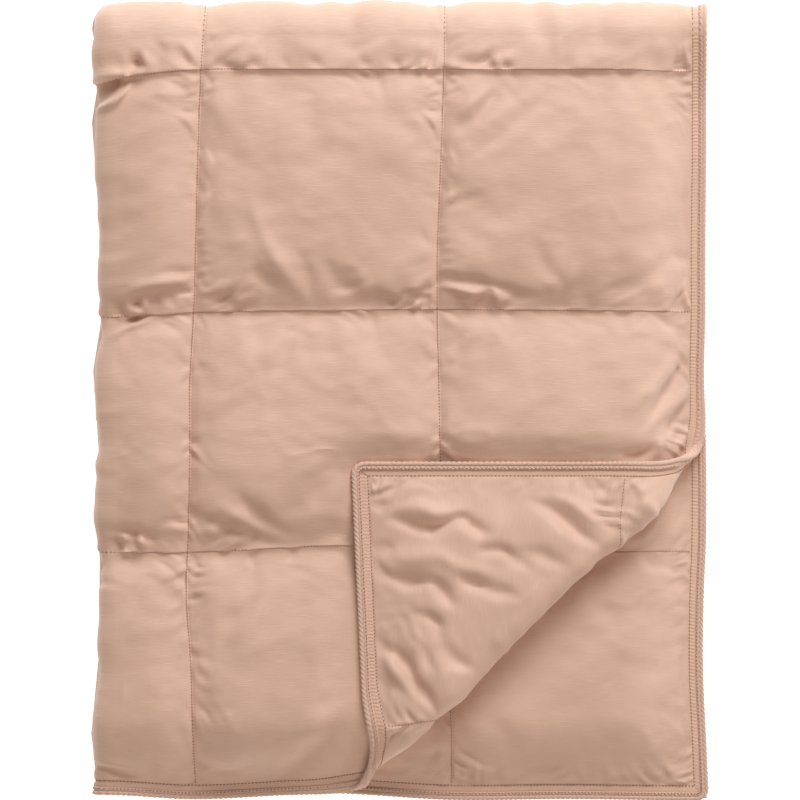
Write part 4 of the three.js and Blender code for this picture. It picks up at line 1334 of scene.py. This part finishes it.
class Finish:
    """The finish of a piece: a material, and the patterns that lie over it."""

    def __init__(self, name, colour, roughness, sheen):
        self.material = bpy.data.materials.new(name)
        self.material.use_nodes = True
        self.nodes = self.material.node_tree.nodes
        self.links = self.material.node_tree.links
        self.shader = self.nodes["Principled BSDF"]
        self.colour = colour
        self.shader.inputs["Base Color"].default_value = colour
        self.shader.inputs["Roughness"].default_value = roughness
        self.shader.inputs["Sheen Weight"].default_value = sheen
        self.shader.inputs["Specular IOR Level"].default_value = SPECULAR

    def weave(self):
        """The place in the weave, which follows the cloth."""
        places = self.nodes.new("ShaderNodeUVMap")
        places.uv_map = "weave"
        return places.outputs["UV"]

    def noise(self, places, detail=None, scale=1):
        pattern = self.nodes.new("ShaderNodeTexNoise")
        pattern.inputs["Scale"].default_value = scale
        if detail is not None:
            pattern.noise_dimensions = "2D"
            pattern.inputs["Detail"].default_value = detail
        self.links.new(places, pattern.inputs["Vector"])
        return pattern.outputs["Fac"]

    def drawn_out(self, weave, scale, detail):
        """Noise in the weave, drawn out along its threads."""
        stretch = self.nodes.new("ShaderNodeMapping")
        stretch.inputs["Scale"].default_value = (*scale, 1)
        self.links.new(weave, stretch.inputs["Vector"])
        return self.noise(stretch.outputs["Vector"], detail)

    def spread(self, value, low, high, to_low, to_high):
        """A value that rises softly from one value to another between two limits."""
        softly = self.nodes.new("ShaderNodeMapRange")
        softly.interpolation_type = "SMOOTHSTEP"
        for socket, number in zip(("From Min", "From Max", "To Min", "To Max"), (low, high, to_low, to_high)):
            softly.inputs[socket].default_value = number
        self.links.new(value, softly.inputs["Value"])
        return softly.outputs["Result"]

    def combined(self, operation, first, second):
        node = self.nodes.new("ShaderNodeMath")
        node.operation = operation
        self.links.new(first, node.inputs[0])
        self.links.new(second, node.inputs[1])
        return node.outputs["Value"]

    def tint(self, brightness):
        """Makes the colour brighter and darker by a value."""
        scaled = self.nodes.new("ShaderNodeVectorMath")
        scaled.operation = "SCALE"
        scaled.inputs[0].default_value = self.colour[:3]
        self.links.new(brightness, scaled.inputs["Scale"])
        self.links.new(scaled.outputs["Vector"], self.shader.inputs["Base Color"])

    def roughen(self, raised, strength):
        """Lets a value stand up from the surface, as threads do."""
        bump = self.nodes.new("ShaderNodeBump")
        bump.inputs["Strength"].default_value = strength
        bump.inputs["Distance"].default_value = WEAVE_HEIGHT
        self.links.new(raised, bump.inputs["Height"])
        self.links.new(bump.outputs["Normal"], self.shader.inputs["Normal"])


def slub_cotton():
    """Fine plain-woven cotton: thicker slub threads run across the throw, and it shines a little."""
    cotton = Finish("slub_cotton", CLOTH_COLOUR, 0.6, 0.33)
    weave = cotton.weave()
    threads = cotton.drawn_out(weave, THREADS, 2)
    slubs = cotton.spread(cotton.drawn_out(weave, SLUBS, 1), 0.62, 0.78, 0, 1)
    grain = cotton.drawn_out(weave, GRAIN, 1)
    clouds = cotton.drawn_out(weave, CLOUDS, 3)

    shade = cotton.spread(threads, 0.25, 0.75, 0.965, 1.02)
    light_slub = cotton.spread(slubs, 0, 1, 1, 1.05)
    cloudy = cotton.spread(clouds, 0.3, 0.7, 0.97, 1.03)
    slubbed = cotton.combined("MULTIPLY", shade, light_slub)
    cotton.tint(cotton.combined("MULTIPLY", slubbed, cloudy))

    raised = cotton.combined("ADD", cotton.spread(threads, 0.2, 0.8, 0, 0.6), slubs)
    raised = cotton.combined("ADD", raised, cotton.spread(grain, 0.3, 0.7, 0, 0.35))
    side = cotton.nodes.new("ShaderNodeSeparateXYZ")
    cotton.links.new(weave, side.inputs["Vector"])
    share = cotton.spread(side.outputs["Y"], INNER_FROM, INNER_FROM + 1, 1, INNER_SHARE)
    cotton.roughen(cotton.combined("MULTIPLY", raised, share), 0.3)
    return cotton.material


def twill():
    """Matt twill: fine threads run round the tape."""
    tape_cloth = Finish("twill", TAPE_COLOUR, 0.85, 0.15)
    threads = tape_cloth.drawn_out(tape_cloth.weave(), TAPE_THREADS, 2)
    tape_cloth.tint(tape_cloth.spread(threads, 0.25, 0.75, 0.9, 1.06))
    tape_cloth.roughen(threads, 0.6)
    return tape_cloth.material


def sewing_thread():
    """Sewing thread, a little uneven in colour from stitch to stitch. Its colour is partly the thread's own
    slightly browner pink and partly painted shade: it is made dark so each stitch shows as the shaded needle
    hole it sinks into.
    """
    thread = Finish("thread", THREAD_AND_HOLE_SHADE_COLOUR, 0.7, 0)
    place = thread.nodes.new("ShaderNodeTexCoord")
    uneven = thread.noise(place.outputs["Object"], scale=THREAD_GRAIN)
    thread.tint(thread.spread(uneven, 0.3, 0.7, 0.8, 1.2))
    return thread.material


# The packet

throw = Throw()
quilt = make_quilt(throw)
tape = make_tape()
hem = make_hem()
stitches = make_stitches(throw)

# The packet is moved to lie over the middle of its solid
cad_low, cad_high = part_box("quilt")
cloth = points_of(quilt)
cloth_low, cloth_high = cloth.min(axis=0), cloth.max(axis=0)
east = (cad_low[0] + cad_high[0]) / 2 - float(cloth_low[0] + cloth_high[0]) / 2
north = (cad_low[1] + cad_high[1]) / 2 - float(cloth_low[1] + cloth_high[1]) / 2
moved = np.array([east, north, 0], np.float32)
cotton = slub_cotton()
for piece, material, slot in (
    (quilt, cotton, "quilt_cloth"),
    (hem, cotton, "quilt_cloth"),
    (tape, twill(), "tape_twill"),
    (stitches, sewing_thread(), "quilt_cloth"),
):
    place_points(piece, points_of(piece) + moved)
    piece.data.materials.append(material)
    piece.data.polygons.foreach_set("use_smooth", [True] * len(piece.data.polygons))
    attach(piece, "root")
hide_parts("quilt")
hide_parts("edge_tape")


# Floor, light and camera. The floor glows a little, and the light that comes from all round is warm

CAMERA_AIM = Vector((0, 0.0005, 0.04))
CAMERA_DISTANCE = 9.48
CAMERA_LENS = 400
FLOOR_SIZE = 12
FLOOR_DROP = 0.0005
FLOOR_GLOW = 0.75
ROUND_LIGHT = {"colour": (1, 0.86, 0.78, 1), "strength": 0.27}
KEY_LIGHT = {"place": (1.2, 4.3, 3.0), "size": (3.2, 2.4), "energy": 262, "colour": (0.97, 1, 1.04)}
FILL_LIGHT = {"place": (0.9, -4.2, 3.4), "size": (3, 2), "energy": 60, "colour": (1, 0.94, 0.9)}


def make_floor():
    bpy.ops.mesh.primitive_plane_add(size=FLOOR_SIZE, location=(0, 0, -FLOOR_DROP))
    floor = bpy.context.object
    floor.name = "floor"
    pale = Finish("pale_floor", FLOOR_COLOUR, 0.9, 0)
    pale.shader.inputs["Emission Color"].default_value = (1, 1, 1, 1)
    pale.shader.inputs["Emission Strength"].default_value = FLOOR_GLOW
    floor.data.materials.append(pale.material)


def soft_light(name, place, size, energy, colour):
    """A large bright panel that faces the throw."""
    bpy.ops.object.light_add(type="AREA", location=place)
    light = bpy.context.object
    light.name = name
    light.data.shape = "RECTANGLE"
    light.data.size, light.data.size_y = size
    light.data.energy = energy
    light.data.color = colour
    light.rotation_euler = (-light.location).to_track_quat("-Z", "Y").to_euler()


def make_lights():
    world = bpy.data.worlds.new("studio")
    bpy.context.scene.world = world
    world.use_nodes = True
    around = world.node_tree.nodes["Background"]
    around.inputs["Color"].default_value = ROUND_LIGHT["colour"]
    around.inputs["Strength"].default_value = ROUND_LIGHT["strength"]
    soft_light("soft_key", **KEY_LIGHT)
    soft_light("soft_fill", **FILL_LIGHT)


def make_camera():
    bpy.ops.object.camera_add(location=CAMERA_AIM + Vector((0, 0, CAMERA_DISTANCE)))
    camera = bpy.context.object
    camera.name = "camera"
    camera.rotation_euler = (0, 0, 0)
    camera.data.lens = CAMERA_LENS
    camera.data.sensor_width = 36
    camera.data.clip_end = 40
    bpy.context.scene.camera = camera


make_floor()
make_lights()
make_camera()
bpy.context.scene.view_settings.view_transform = "Standard"
